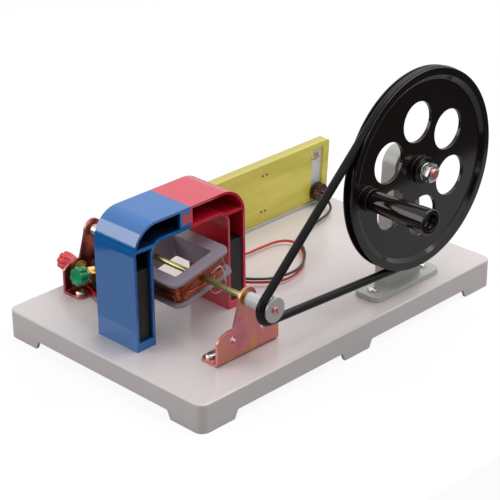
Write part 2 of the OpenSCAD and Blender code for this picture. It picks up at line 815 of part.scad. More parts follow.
coil_lead_r = 0.5;
coil_lead_x = axle_r + coil_lead_r + running_fit;
sleeve_front = rings_y - ring_sleeve_length / 2;
module coil_leads() {
    color([0.86, 0.86, 0.84]) on_rotor()
        for (s = [-1, 1])
            translate([s * coil_lead_x, 0, 0])
                bar_y(coil_lead_r, wind_b - wind_sink - coil_y, sleeve_front);
}

module slip_ring_sleeve() {
    color([0.30, 0.20, 0.14])
        on_rotor() bar_y(ring_sleeve_d / 2, sleeve_front, sleeve_front + ring_sleeve_length, axle_r);
}

ring_middles = [for (s = [-1, 1]) rings_y + s * ring_pitch / 2];
module slip_rings() {
    for (y = ring_middles)
        color([0.85, 0.66, 0.32]) on_rotor()
            bar_y(ring_d / 2, y - ring_width / 2, y + ring_width / 2, ring_sleeve_d / 2);
}

// Brush block: it stands behind the magnet and also carries the green terminal
brush_face = ring_d / 2 + side_gap;
block_top = rotor_z - ring_d / 2 - ring_width / 2;
block_front = rings_y - ring_pitch / 2 - ring_width;
block_back = rings_y + ring_pitch / 2 + ring_width;
green_reach = 10;
green_height = 12.7;
green_y = 74.8;
green_face = [rotor_x - green_reach, green_y, top_z + green_height];
arm_depth = green_base_flats + 2 * brush_thick;
arm_height = 21;
arm_reach = 20;
arm_bottom = bracket_sheet + side_gap;

// Turns what stands on the XY plane so that its Z runs out along the green terminal's post
module on_green_post() {
    translate(green_face) rotate([0, green_tilt - 90, 0]) children();
}

module brush_block() {
    color([0.16, 0.12, 0.10]) difference() {
        union() {
            translate([rotor_x - brush_face, block_front, top_z])
                cube([2 * brush_face, block_back - block_front, block_top - top_z]);
            translate([rotor_x - arm_reach, block_back - over, top_z + arm_bottom])
                cube([arm_reach + brush_face, green_y + arm_depth / 2 - block_back + over,
                      arm_height - arm_bottom]);
        }
        translate([rotor_x - arm_reach - over, block_front - over, top_z - over])
            cube([arm_reach + over - brush_face, green_y - arm_depth / 2 - block_front + over,
                  block_top]);
        on_green_post()
            translate([-arm_reach, -arm_depth, 0]) cube([2 * arm_reach, 2 * arm_depth, arm_reach]);
        on_green_post()
            translate([0, 0, -green_post_root]) cylinder(h = green_post_root + over, r = post_d / 2);
        for (i = [0, 1])
            translate([rotor_x, ring_middles[i], brush_screw_z]) rotate([0, i * 180 - 90, 0])
                translate([0, 0, brush_face - brush_screw_length])
                    cylinder(h = brush_screw_length + over, r = brush_screw_d / 2);
    }
}

brush_screw_d = 2.5;
brush_screw_head_d = 4.6;
brush_screw_head_h = 1.5;
brush_screw_length = 5;
brush_foot = 12;
brush_screw_z = block_top - brush_foot / 2;
module brush_strips() {
    for (i = [0, 1])
        color([0.82, 0.58, 0.30])
            translate([rotor_x, ring_middles[i], 0]) rotate(i * 180)
                difference() {
                    translate([-brush_face - brush_thick, -brush_width / 2, block_top - brush_foot])
                        cube([brush_thick, brush_width, rotor_z + axle_d - block_top + brush_foot]);
                    translate([-brush_face - brush_thick - over, 0, brush_screw_z])
                        rotate([0, 90, 0]) cylinder(h = brush_thick + 2 * over, r = brush_screw_d / 2);
                }
}

module brush_screws() {
    for (i = [0, 1])
        color([0.75, 0.75, 0.74])
            translate([rotor_x, ring_middles[i], brush_screw_z]) rotate([0, i * 180 - 90, 0])
                translate([0, 0, brush_face + brush_thick])
                    screw(brush_screw_length + brush_thick, 1, brush_screw_d, brush_screw_head_d,
                          brush_screw_head_h);
}

// Belt drive: round belt, open, from the small pulley to the flywheel
pulley_screw_d = 2.5;
pulley_screw_length = 9;
pulley_screw_head_d = 5.5;
pulley_screw_head_h = 1.6;
module pulley_spacer() {
    color([0.92, 0.92, 0.90])
        on_rotor() bar_y(spacer_d / 2, -pulley_back, -bush_front - side_gap, axle_r);
}

module small_pulley() {
    color([0.76, 0.77, 0.78]) on_rotor() translate([0, -belt_y, 0]) rotate([90, 0, 0])
        difference() {
            rotate_extrude() difference() {
                translate([0, -pulley_half]) square([pulley_disc_d / 2, 2 * pulley_half]);
                translate([pulley_belt_r, 0]) circle(groove_r);
            }
            translate([0, 0, -pulley_half - over])
                cylinder(h = 2 * pulley_half + over - bush_flange, r = axle_r);
            cylinder(h = pulley_half + over, r = pulley_screw_d / 2);
        }
}

module pulley_screw() {
    color([0.80, 0.80, 0.80]) on_rotor() facing_front(0, -pulley_front, 0)
        screw(pulley_screw_length, 1, pulley_screw_d, pulley_screw_head_d, pulley_screw_head_h);
}

line_x = wheel_x - rotor_x;
line_z = wheel_z - rotor_z;
line_length = norm([line_x, line_z]);
line_angle = atan2(line_z, line_x);
belt_spread = asin((wheel_belt_r - pulley_belt_r) / line_length);
belt_step = 5;
function belt_arc(centre, r, from, turn) =
    let (parts = ceil(turn / belt_step * sqrt(r / wheel_belt_r)))
    [for (i = [0 : parts]) let (a = from + turn * i / parts)
        [centre[0] + r * cos(a), centre[1] + r * sin(a), 0]];
belt_line = concat(
    belt_arc([wheel_x, wheel_z], wheel_belt_r, line_angle - 90 - belt_spread, 180 + 2 * belt_spread),
    belt_arc([rotor_x, rotor_z], pulley_belt_r, line_angle + 90 + belt_spread, 180 - 2 * belt_spread));
module drive_belt() {
    color([0.05, 0.05, 0.05]) facing_front(0, -belt_y, 0) tube(belt_line, belt_d, 12, true);
}

// Flywheel and crank, drawn about the wheel's axis with Z towards the viewer from the belt's plane
module on_wheel(angle = 0, radius = 0) {
    facing_front(wheel_x, -belt_y, wheel_z) rotate(angle) translate([radius, 0, 0]) children();
}

web_half = web_thick / 2;
rim_half = rim_width / 2;
column_front = column_y + column_depth / 2;
column_back = column_y - column_depth / 2;
hub_back = belt_y - column_front - axle_washer - side_gap;
crank_boss_top = web_half + crank_boss_height;
web_holes = 6;
module flywheel() {
    color([0.06, 0.06, 0.06]) difference() {
        union() {
            on_wheel() rotate_extrude() difference() {
                union() {
                    translate([0, -web_half]) square([dish_r + dish_slope, web_thick]);
                    translate([0, -hub_back]) square([hub_d / 2, hub_back + hub_front]);
                    polygon([[dish_r, -web_half], [dish_r + dish_slope, -rim_half], [wheel_r, -rim_half],
                             [wheel_r, rim_half], [dish_r + dish_slope, rim_half], [dish_r, web_half]]);
                }
                translate([wheel_belt_r, 0]) {
                    circle(groove_r);
                    translate([0, -groove_r]) square([groove_sink + over, 2 * groove_r]);
                }
            }
            on_wheel(crank_angle, crank_radius) cylinder(h = crank_boss_top, d = crank_boss_d);
        }
        on_wheel() translate([0, 0, -hub_back - over])
            cylinder(h = hub_back + hub_front + 2 * over, d = wheel_bush_d);
        for (i = [1 : web_holes])
            on_wheel(web_hole_angle + i * 360 / web_holes, web_hole_r) translate([0, 0, -web_half - over])
                cylinder(h = web_thick + 2 * over, d = web_hole_d);
        on_wheel(crank_angle, crank_radius) translate([0, 0, -web_half - over])
            cylinder(h = web_thick + crank_boss_height + 2 * over, d = crank_pin_d);
    }
}

module wheel_bush() {
    color([0.78, 0.62, 0.30]) on_wheel() translate([0, 0, -hub_back]) difference() {
        cylinder(h = hub_back + hub_front, d = wheel_bush_d);
        translate([0, 0, -over])
            cylinder(h = hub_back + hub_front + 2 * over, r = wheel_axle_r + running_fit);
    }
}

front_washer = hub_front + side_gap;
front_nuts = front_washer + axle_washer;
axle_proud = 1.8;
axle_back = belt_y - column_back + axle_nut_thick + axle_proud;
axle_tip = front_nuts + 2 * axle_nut_thick + clamp_gap + axle_proud;
tip_chamfer = 0.8;
module wheel_axle() {
    color([0.78, 0.78, 0.76]) on_wheel() translate([0, 0, -axle_back]) {
        cylinder(h = axle_back + axle_tip - tip_chamfer, r = wheel_axle_r);
        translate([0, 0, axle_back + axle_tip - tip_chamfer])
            cylinder(h = tip_chamfer, r1 = wheel_axle_r, r2 = wheel_axle_r - tip_chamfer);
    }
}

module wheel_washers() {
    for (z = [front_washer, column_front - belt_y])
        color([0.82, 0.82, 0.80]) on_wheel() translate([0, 0, z]) difference() {
            cylinder(h = axle_washer, d = axle_washer_d);
            translate([0, 0, -over])
                cylinder(h = axle_washer + 2 * over, r = wheel_axle_r + screw_play);
        }
}

module wheel_nuts() {
    for (z = [front_nuts, front_nuts + axle_nut_thick + clamp_gap, column_back - belt_y - axle_nut_thick])
        color([0.80, 0.80, 0.78])
            on_wheel() translate([0, 0, z]) hex_nut(axle_nut_flats, wheel_axle_r, axle_nut_thick);
}

grip_start = crank_boss_top + side_gap;
grip_floor = grip_start + grip_length - grip_recess;
pin_head = 2.5;
pin_slot = 1;
grip_edge = 1.2;
module crank_pin() {
    head_r = grip_recess_d / 2 - over;
    color([0.72, 0.72, 0.70]) on_wheel(crank_angle, crank_radius) difference() {
        union() {
            translate([0, 0, -web_half])
                cylinder(h = web_half + grip_floor + side_gap, d = crank_pin_d);
            translate([0, 0, grip_floor + side_gap]) cylinder(h = pin_head, r = head_r);
        }
        translate([-2 * head_r, -pin_slot / 2, grip_floor + side_gap + pin_head - pin_slot])
            cube([4 * head_r, pin_slot, 2 * pin_slot]);
    }
}

module crank_grip() {
    root_r = grip_root_d / 2;
    end_r = grip_end_d / 2;
    color([0.05, 0.05, 0.05]) on_wheel(crank_angle, crank_radius) translate([0, 0, grip_start])
        rotate_extrude() difference() {
            union() {
                polygon([[0, 0], [root_r - grip_edge, 0], [root_r, grip_edge],
                         [end_r, grip_length - grip_edge], [end_r - grip_edge, grip_length],
                         [0, grip_length]]);
                translate([root_r - grip_edge, grip_edge]) circle(grip_edge);
                translate([end_r - grip_edge, grip_length - grip_edge]) circle(grip_edge);
            }
            translate([0, -over]) square([crank_pin_d / 2 + running_fit, grip_length]);
            translate([0, grip_length - grip_recess]) square([grip_recess_d / 2, grip_recess + over]);
        }
}

// Pedestal of the flywheel
module pedestal() {
    color([0.60, 0.61, 0.58]) difference() {
        union() {
            translate([wheel_x, -column_y, top_z])
                linear_extrude(pedestal_foot_thick)
                    rounded_rect(pedestal_foot_length, pedestal_foot_depth, pedestal_foot_corner);
            translate([wheel_x, 0, top_z]) along_y(-column_front, -column_back) hull() {
                translate([-column_width / 2, 0]) square([column_width, column_root]);
                translate([0, wheel_height]) circle(column_top_width / 2);
            }
        }
        translate([wheel_x, 0, wheel_z])
            bar_y(wheel_axle_r, -column_front - over, over - column_back);
        for (x = pedestal_screw_x)
            translate([x, -column_y, top_z - over])
                cylinder(h = pedestal_foot_thick + 2 * over, r = screw_d / 2 + screw_play);
    }
}

module pedestal_screws() {
    for (x = pedestal_screw_x)
        color([0.82, 0.82, 0.80]) translate([x, -column_y, top_z + pedestal_foot_thick])
            screw(pedestal_foot_thick + base_wall + nut_tail, 1);
}

// Lamp panel: a shallow cover, seen from behind; its frame's Y runs into the cover
module on_panel(x = 0, z = 0) {
    translate([panel_end_x, panel_y, top_z + rail_thick])
        rotate([panel_lean, 0, 0]) translate([x, 0, z]) children();
}

panel_corner = 3;
strip_thick = 1.5;
strip_back = panel_face + strip_thick;
window_x = [-window_inset, window_inset - panel_length];
led_heights = [11, 42];
led_x = -panel_length / 2 - 2.3;
led_lead_r = 0.4;
led_lead_x = 2.1;
led_r = 2.5;
led_flange_r = 3.1;
led_body = 4;
eyelet_height = 40;
eyelet_r = 2.5;
eyelet_barrel_r = 1.4;
eyelet_bore_r = 0.9;
eyelet_flange = 0.6;

module panel_cover() {
    inner_l = panel_length - 2 * panel_wall;
    inner_h = panel_height - 2 * panel_wall;
    color([0.72, 0.71, 0.25]) on_panel() difference() {
        along_y(0, panel_depth) translate([-panel_length / 2, panel_height / 2])
            rounded_rect(panel_length, panel_height, panel_corner);
        along_y(panel_face, panel_depth + over) translate([-panel_length / 2, panel_height / 2])
            square([inner_l, inner_h], center = true);
        for (x = window_x)
            translate([x - window_width / 2, -over, panel_wall])
                cube([window_width, panel_face + 2 * over, window_height]);
        for (z = led_heights, s = [-1, 1])
            translate([led_x + s * led_lead_x, 0, z]) bar_y(led_lead_r, -over, panel_face + over);
    }
}

strip_width = window_width + 2 * panel_wall;
module panel_strips() {
    for (x = window_x)
        color([0.94, 0.94, 0.92]) on_panel(x) difference() {
            translate([-strip_width / 2, panel_face, panel_wall])
                cube([strip_width, strip_thick, panel_height - 2 * panel_wall]);
            translate([0, 0, lamp_height]) bar_y(holder_neck_d / 2, 0, strip_back + over);
            translate([0, 0, eyelet_height]) bar_y(eyelet_barrel_r, 0, strip_back + over);
        }
}

module strip_eyelets() {
    for (x = window_x)
        color([0.80, 0.62, 0.30]) on_panel(x, eyelet_height) {
            bar_y(eyelet_r, panel_face - eyelet_flange, panel_face, eyelet_bore_r);
            bar_y(eyelet_barrel_r, panel_face, strip_back, eyelet_bore_r);
            bar_y(eyelet_r, strip_back, strip_back + eyelet_flange, eyelet_bore_r);
        }
}

rail_lip = 1.4;
module panel_rail() {
    lean = [sin(panel_lean), cos(panel_lean)];
    lip = [-rail_lip * lean[0], rail_thick + rail_lip * lean[1]];
    color([0.75, 0.76, 0.74]) difference() {
        translate([panel_end_x - panel_length, panel_y, top_z])
            rotate([90, 0, 90])
                linear_extrude(panel_length)
                    polygon([[-rail_thick, 0], [rail_depth, 0], [rail_depth, rail_thick],
                             [0, rail_thick], lip, lip - rail_thick * [lean[1], lean[0]]]);
        for (x = rail_screw_x)
            translate([x, rail_screw_y, top_z - over])
                cylinder(h = rail_thick + 2 * over, r = screw_d / 2 + screw_play);
    }
}

module rail_screws() {
    for (x = rail_screw_x)
        color([0.82, 0.82, 0.80]) translate([x, rail_screw_y, top_z + rail_thick])
            screw(rail_thick + base_wall + nut_tail, 2);
}

// Lamps: holder on the panel's back, its socket through the window's strip, and the bulb in front
holder_neck_d = 9;
socket_depth = 8;
socket_wall = 1.5;
socket_floor = 1.5;
cap_play = 0.15;
cap_length = 8;
glass_neck_r = 3.5;
glass_neck = 1.5;
lug_thick = 0.6;
lug_r = 2.4;
lug_width = 3;
lug_length = 9.5;
lug_angle = 155;
module lamp_holders() {
    for (x = window_x)
        color([0.08, 0.08, 0.08]) on_panel(x, lamp_height) difference() {
            union() {
                bar_y(holder_d / 2, -holder_length, 0);
                bar_y(holder_neck_d / 2, -over, strip_back + over);
                bar_y(bulb_d / 2 + socket_wall, strip_back, strip_back + socket_depth);
            }
            bar_y(bulb_d / 2, strip_back + socket_floor, strip_back + socket_depth + over);
        }
}

module lamp_lugs() {
    for (x = window_x)
        color([0.72, 0.45, 0.28]) on_panel(x, lamp_height)
            along_y(-holder_length - lug_thick, -holder_length) {
                circle(lug_r);
                rotate(lug_angle) translate([0, -lug_width / 2]) square([lug_length, lug_width]);
            }
}

cap_end = strip_back + socket_floor + cap_length;
module bulb_caps() {
    for (x = window_x)
        color([0.80, 0.66, 0.36]) on_panel(x, lamp_height)
            bar_y(bulb_d / 2 - cap_play, strip_back + socket_floor, cap_end);
}

module bulb_glasses() {
    for (x = window_x)
        color([0.90, 0.92, 0.94]) on_panel(x, lamp_height) {
            bar_y(glass_neck_r, cap_end, cap_end + glass_neck + bulb_d / 2);
            translate([0, cap_end + glass_neck + bulb_d / 2, 0]) sphere(d = bulb_d);
        }
}

led_lead_end = 1;
module indicator_leds() {
    for (i = [0, 1])
        color(i > 0 ? [0.80, 0.15, 0.12] : [0.20, 0.60, 0.25]) on_panel(led_x, led_heights[i]) {
            bar_y(led_flange_r, panel_face, panel_face + led_lead_end);
            bar_y(led_r, panel_face, panel_face + led_body);
            translate([0, panel_face + led_body, 0]) sphere(led_r);
            for (s = [-1, 1])
                translate([s * led_lead_x, 0, 0]) bar_y(led_lead_r, -led_lead_end, panel_face + over / 2);
        }
}

solder_r = 1.1;
module solder_joints() {
    for (z = led_heights, s = [-1, 1])
        color([0.80, 0.80, 0.82]) on_panel(led_x + s * led_lead_x, z) facing_front(0, 0, 0)
            difference() {
                cylinder(h = led_lead_end - led_lead_r, r1 = solder_r, r2 = led_lead_r + running_fit);
                translate([0, 0, -over]) cylinder(h = led_lead_end + 2 * over, r = led_lead_r);
            }
}

// Terminals: a threaded post, a loose washer and a fluted knob that clamps a wire under it
post_r = post_d / 2;
green_post_root = 6;
washer_thick = 0.8;
washer_r = knob_inner_d / 2 + clamp_gap;
knob_cap = 2.2;
knob_edge = 0.8;
knob_dish_share = 0.55;
flutes = 8;
flute_r = 1.5;
red_bore = red_knob_length - knob_cap;
green_bore = green_knob_length - knob_cap;

module knob(colour, length) {
    outer_r = knob_d / 2;
    color(colour) difference() {
        rotate_extrude()
            polygon([[0, 0], [knob_inner_d / 2, 0], [outer_r, length - flute_length],
                     [outer_r, length - knob_edge], [outer_r - knob_edge, length], [0, length]]);
        for (i = [0 : flutes - 1])
            rotate(i * 360 / flutes)
                translate([outer_r + flute_r / 2, 0, -over])
                    cylinder(h = length + 2 * over, r = flute_r);
        translate([0, 0, -over]) cylinder(h = length - knob_cap + over, r = post_r + running_fit);
        translate([0, 0, length - knob_edge])
            cylinder(h = knob_edge + over, r = outer_r * knob_dish_share);
    }
}

module loose_washer() {
    difference() {
        cylinder(h = washer_thick, r = washer_r);
        translate([0, 0, -over]) cylinder(h = washer_thick + 2 * over, r = post_r + running_fit);
    }
}

red_x = rotor_x - shoulder_span / 2;
red_z = top_z + shoulder_hole_height;
insulator_flange = 1.2;
post_nut_flats = 7;
post_nut = 2.4;
red_plate_front = rear_bracket_y - bracket_sheet;
red_lug_front = red_plate_front - insulator_flange - lug_thick;
red_clamp = rear_bracket_y + insulator_flange + post_nut + clamp_gap;
red_knob_y = red_clamp + washer_thick + clamp_gap;
post_short = 1;

// Turns what stands on the XY plane so that its Z runs out along the red terminal's post
module on_red_post(y) {
    translate([red_x, y, red_z]) rotate([-90, 0, 0]) children();
}

module red_insulators() {
    color([0.55, 0.50, 0.20]) translate([red_x, 0, red_z]) {
        bar_y(insulator_d / 2, red_plate_front - insulator_flange, red_plate_front, post_r);
        bar_y(shoulder_hole_d / 2, red_plate_front, rear_bracket_y, post_r);
        bar_y(insulator_d / 2, rear_bracket_y, rear_bracket_y + insulator_flange, post_r);
    }
}

module red_post() {
    color([0.80, 0.78, 0.70]) translate([red_x, 0, red_z])
        bar_y(post_r, red_lug_front - post_nut - post_short, red_knob_y + red_bore - post_short);
}

module red_nuts() {
    for (y = [red_lug_front - post_nut, rear_bracket_y + insulator_flange])
        color([0.80, 0.64, 0.32]) on_red_post(y) hex_nut(post_nut_flats, post_r, post_nut);
}

lug_drop = 9;
module red_lug() {
    color([0.80, 0.64, 0.32]) translate([red_x, 0, red_z])
        along_y(red_lug_front, red_lug_front + lug_thick) difference() {
            union() {
                circle(post_nut_flats / 2);
                translate([-lug_width / 2, -lug_drop]) square([lug_width, lug_drop]);
            }
            circle(post_r);
        }
}

module red_washer() {
    color([0.82, 0.80, 0.74]) on_red_post(red_clamp) loose_washer();
}

module red_knob() {
    on_red_post(red_knob_y) knob([0.86, 0.16, 0.22], red_knob_length);
}

green_clamp = green_base_length + clamp_gap;
green_knob_start = green_clamp + washer_thick + clamp_gap;
module green_post() {
    color([0.80, 0.78, 0.70]) on_green_post() translate([0, 0, -green_post_root])
        cylinder(h = green_post_root + green_knob_start + green_bore - post_short, r = post_r);
}

module green_base() {
    color([0.80, 0.64, 0.32]) on_green_post() hex_nut(green_base_flats, post_r, green_base_length);
}

module green_washer() {
    color([0.82, 0.80, 0.74]) on_green_post() translate([0, 0, green_clamp]) loose_washer();
}

module green_knob() {
    on_green_post() translate([0, 0, green_knob_start])
        knob([0.10, 0.60, 0.40], green_knob_length);
}

// Leads: one over the other, a little above the base, along points chosen by hand from the photograph
lead_rise = 1;
function panel_point(x, y, z) =
    [panel_end_x + x, panel_y + y * cos(panel_lean) - z * sin(panel_lean),
     top_z + rail_thick + y * sin(panel_lean) + z * cos(panel_lean)];
function lamp_end(x) = [for (out = [0, lead_d, 2 * lead_d])
    panel_point(x, -holder_length - lug_thick - out, lamp_height)];
red_lug_end = [red_x, red_lug_front + lug_thick / 2, red_z - lug_drop];
red_route = [
    [14, 46, 28], [12, 39.5, 25.5], [18, 35, 24.6], [27, 33.5, 24.6], [36, 33.5, 24.6], [45, 33, 24.6],
    [54, 32, 24.6], [61, 28, 24.6], [63.5, 21, 24.6], [61, 13.5, 24.6], [56.5, 6.5, 24.6], [51, 0, 24.6],
    [44.5, -6, 24.6], [37, -11.5, 24.6], [28.5, -15, 24.6], [19.5, -16.5, 24.6], [11, -15.5, 24.6],
    [3.5, -11.5, 24.6], [-3, -6, 24.6], [-9, 1, 24.6], [-14.5, 9, 24.6], [-19.5, 18, 24.6],
    [-26, 27, 24.6], [-36, 31, 24.6], [-47, 32.5, 24.6], [-58, 33, 24.6], [-69, 33, 24.6],
    [-80, 33.5, 24.6], [-90, 36, 24.6], [-97.5, 43, 24.6], [-101, 52, 24.6], [-99.5, 61, 24.8],
    [-96, 69, 25.2], [-93.5, 76, 25.2], [-93, 82, 25.2]
];
black_route = [
    [131, 49, 28.5], [126.5, 42, 26], [118, 37.5, 25], [109, 35, 25], [100, 33, 25], [91, 30.5, 25],
    [82, 28, 25.5], [74, 24.5, 26.3], [67, 19, 27.2], [61.5, 12.5, 27.2], [56.5, 5.5, 27.2],
    [51, -1, 27.2], [44, -7, 27.2], [36.5, -12, 27.2], [28, -15, 27.2], [19.5, -15.5, 27.2],
    [11, -14, 27.2], [3.5, -11, 27.2], [-3, -5.5, 27.2], [-9, 1.5, 27.2], [-14, 9.5, 27.2],
    [-18.5, 18, 27.2], [-25, 27.5, 27.2], [-34, 33.5, 27.2], [-43, 38.5, 26.5], [-51, 44, 25.5],
    [-59, 49, 24.6]
];
block_side = rotor_x + brush_face;
black_end = [for (out = [2 * lead_d, lead_d, 0]) [block_side + out, rings_y, top_z + lead_d + lead_rise]];
red_lead_points = concat(lamp_end(window_x[1]), red_route,
                         [for (drop = [lead_d, 0]) red_lug_end - [0, 0, drop]]);
black_lead_points = concat(lamp_end(window_x[0]), black_route, black_end);

module red_lead() {
    color([0.80, 0.08, 0.10]) tube(red_lead_points, lead_d, 8);
}

module black_lead() {
    color([0.08, 0.08, 0.08]) tube(black_lead_points, lead_d, 8);
}

base_tray();
magnet_housing_blue();
magnet_housing_red();
ferrite_slabs();
magnet_screws();
front_bracket();
rear_bracket();
bracket_screws();
base_nuts();
bearing_bushes();
rotor_axle();
axle_collar();
coil_bobbin();
winding_core();
coil_winding();
coil_leads();
slip_ring_sleeve();
slip_rings();
brush_block();
brush_strips();
brush_screws();
pulley_spacer();
small_pulley();
pulley_screw();
drive_belt();
flywheel();
wheel_bush();
wheel_axle();
wheel_washers();
wheel_nuts();
crank_pin();
crank_grip();
pedestal();
pedestal_screws();
panel_cover();
panel_strips();
strip_eyelets();
panel_rail();
rail_screws();
lamp_holders();
lamp_lugs();
bulb_caps();
bulb_glasses();
indicator_leds();
solder_joints();
red_insulators();
red_post();
red_nuts();
red_lug();
red_washer();
red_knob();
green_post();
green_base();
green_washer();
green_knob();
red_lead();
black_lead();
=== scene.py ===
import json
import math

import bmesh
import bpy
import numpy as np
from bpy.props import FloatProperty, FloatVectorProperty, IntProperty, PointerProperty
from mathutils import Matrix, Vector


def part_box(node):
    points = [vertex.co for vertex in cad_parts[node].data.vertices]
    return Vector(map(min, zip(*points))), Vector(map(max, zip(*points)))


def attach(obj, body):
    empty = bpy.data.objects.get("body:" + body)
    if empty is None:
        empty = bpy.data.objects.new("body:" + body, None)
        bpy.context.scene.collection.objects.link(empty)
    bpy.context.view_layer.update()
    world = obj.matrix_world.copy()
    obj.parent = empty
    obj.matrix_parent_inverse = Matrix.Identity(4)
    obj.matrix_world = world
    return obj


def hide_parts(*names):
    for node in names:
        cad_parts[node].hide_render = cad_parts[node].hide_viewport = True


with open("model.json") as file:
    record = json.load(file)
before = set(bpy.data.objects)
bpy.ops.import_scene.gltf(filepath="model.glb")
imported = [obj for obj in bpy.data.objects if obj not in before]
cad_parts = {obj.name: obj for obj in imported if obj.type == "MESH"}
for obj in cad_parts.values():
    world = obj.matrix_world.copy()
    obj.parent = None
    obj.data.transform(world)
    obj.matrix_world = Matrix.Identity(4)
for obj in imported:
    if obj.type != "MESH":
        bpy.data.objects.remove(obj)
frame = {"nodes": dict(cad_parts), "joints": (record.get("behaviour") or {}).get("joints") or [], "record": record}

bl_info = {
    "name": "Hand crank generator looks",
    "version": (1, 0, 0),
    "blender": (4, 5, 0),
    "location": "View3D > Sidebar > Generator",
    "description": "Dresses the packed parts of a classroom hand crank generator",
    "category": "Object",
}

MM = 0.001
# Points closer than this, in metres, are one: in new surfaces, and in the triangles of the solids
WELD = 1e-7
SOLID_WELD = 2e-6
# Faces of the solids that meet at less than the first angle are one; an edge over the second is sharp
FLAT_ANGLE = math.radians(0.6)
SHARP_ANGLE = math.radians(32)
# Rounding of the edges of each kind of piece, in millimetres
ROUNDING = {
    "base_plastic": 0.6, "blue_plastic": 0.5, "red_plastic": 0.5, "ferrite": 0.4, "zinc_steel": 0.3,
    "bright_steel": 0.4, "brass": 0.3, "dark_plastic": 0.3, "phenolic": 0.3, "white_nylon": 0.3,
    "pulley_metal": 0.25, "black_plastic": 0.5, "cast_grey": 0.4, "panel_plastic": 0.25,
    "rail_metal": 0.2, "olive_insulator": 0.3,
}
# Parts whose edges stay sharp, parts that are made anew, and parts with a finish of their own
SHARP = ("panel_cover",)
REMADE = ("coil_winding", "drive_belt", "red_lead", "black_lead", "green_knob", "red_knob")
OWN_FINISH = {"wheel_axle": "pink_zinc", "pulley_screw": "pink_zinc", "panel_strips": "strip_white"}
# Radius of the tray's upright corners in the solids
TRAY_CORNER = 4 * MM
# Outline of the magnet's arch in the solids: its outer and inner corners, a leg, the crown and the wall
HOUSINGS = ("magnet_housing_blue", "magnet_housing_red")
OUTER_R = 21 * MM
INNER_R = 8 * MM
LEG = 16.8 * MM
CROWN = 16.2 * MM
SHELL_WALL = 1.1 * MM
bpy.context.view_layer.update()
JOINTS = {joint["name"]: joint for joint in frame["joints"]}
COUPLED = {c["joint"]: c["ratio"] for c in frame["record"]["behaviour"]["couplings"]}
ROTOR = np.array(JOINTS["rotor_spin"]["pos_m"])
WHEEL = np.array(JOINTS["wheel_spin"]["pos_m"])
BODY_OF = {node: body for body, nodes in frame["record"]["behaviour"]["bodies"].items() for node in nodes}
SLOT_OF = {part["node"]: part["material_slot"] for part in frame["record"]["subparts"]}


def box(node):
    """Lowest and highest corner of a CAD node, as arrays."""
    low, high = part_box(node)
    return np.array(low), np.array(high)


# Surfaces

def unit(v):
    """Vectors scaled to length 1 along their last axis."""
    return v / np.maximum(np.linalg.norm(v, axis=-1, keepdims=True), 1e-12)


def grid_faces(rows, columns, loop_rows, loop_columns):
    """Quads between neighbouring points of a grid, which may close on itself either way."""
    i = np.arange(rows if loop_rows else rows - 1)[:, None]
    j = np.arange(columns if loop_columns else columns - 1)[None, :]
    i2, j2 = (i + 1) % rows, (j + 1) % columns
    corners = (i * columns + j, i * columns + j2, i2 * columns + j2, i2 * columns + j)
    return np.stack(np.broadcast_arrays(*corners), axis=-1).reshape(-1, 4)


def make_mesh(name, surfaces):
    """A mesh of grids of points; doubles merge, so poles and seams close, and faces turn outwards.

    surfaces lists (points, loop_rows, loop_columns), with points shaped rows x columns x 3.
    """
    points, faces, start = [], [], 0
    for grid, loop_rows, loop_columns in surfaces:
        rows, columns = grid.shape[:2]
        points.append(grid.reshape(-1, 3))
        faces.append(grid_faces(rows, columns, loop_rows, loop_columns) + start)
        start += rows * columns
    mesh = bpy.data.meshes.new(name)
    mesh.from_pydata(np.concatenate(points), [], np.concatenate(faces).tolist())
    shape = bmesh.new()
    shape.from_mesh(mesh)
    bmesh.ops.remove_doubles(shape, verts=shape.verts, dist=WELD)
    bmesh.ops.recalc_face_normals(shape, faces=shape.faces)
    shape.to_mesh(mesh)
    shape.free()
    mesh.shade_smooth()
    return mesh


def add_piece(name, mesh, body, slot, material, *nodes):
    """Links a mesh as a piece that rides on a body and stands for the named CAD nodes."""
    piece = bpy.data.objects.new(name, mesh)
    bpy.context.scene.collection.objects.link(piece)
    piece.data.materials.append(material)
    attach(piece, body)
    if nodes:
        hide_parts(*nodes)
    return piece


def smooth_path(points, per_span):
    """Catmull-Rom curve through the points: each span is a cubic whose ends share their slopes."""
    p = np.asarray(points, float)
    p = np.concatenate([[2 * p[0] - p[1]], p, [2 * p[-1] - p[-2]]])
    t = np.linspace(0, 1, per_span, endpoint=False)[None, :, None]
    a, b, c, d = (p[k:len(p) - 3 + k][:, None, :] for k in range(4))
    spans = 0.5 * (2 * b + (c - a) * t + (2 * a - 5 * b + 4 * c - d) * t ** 2
                   + (3 * b - a - 3 * c + d) * t ** 3)
    return np.concatenate([spans.reshape(-1, 3), p[-2:-1]])


def evenly(line, count):
    """A closed line's points, given with the first repeated last, spaced evenly along it."""
    far = np.concatenate([[0], np.cumsum(np.linalg.norm(np.diff(line, axis=0), axis=1))])
    at = np.linspace(0, far[-1], count, endpoint=False)
    return np.stack([np.interp(at, far, column) for column in line.T], axis=-1)


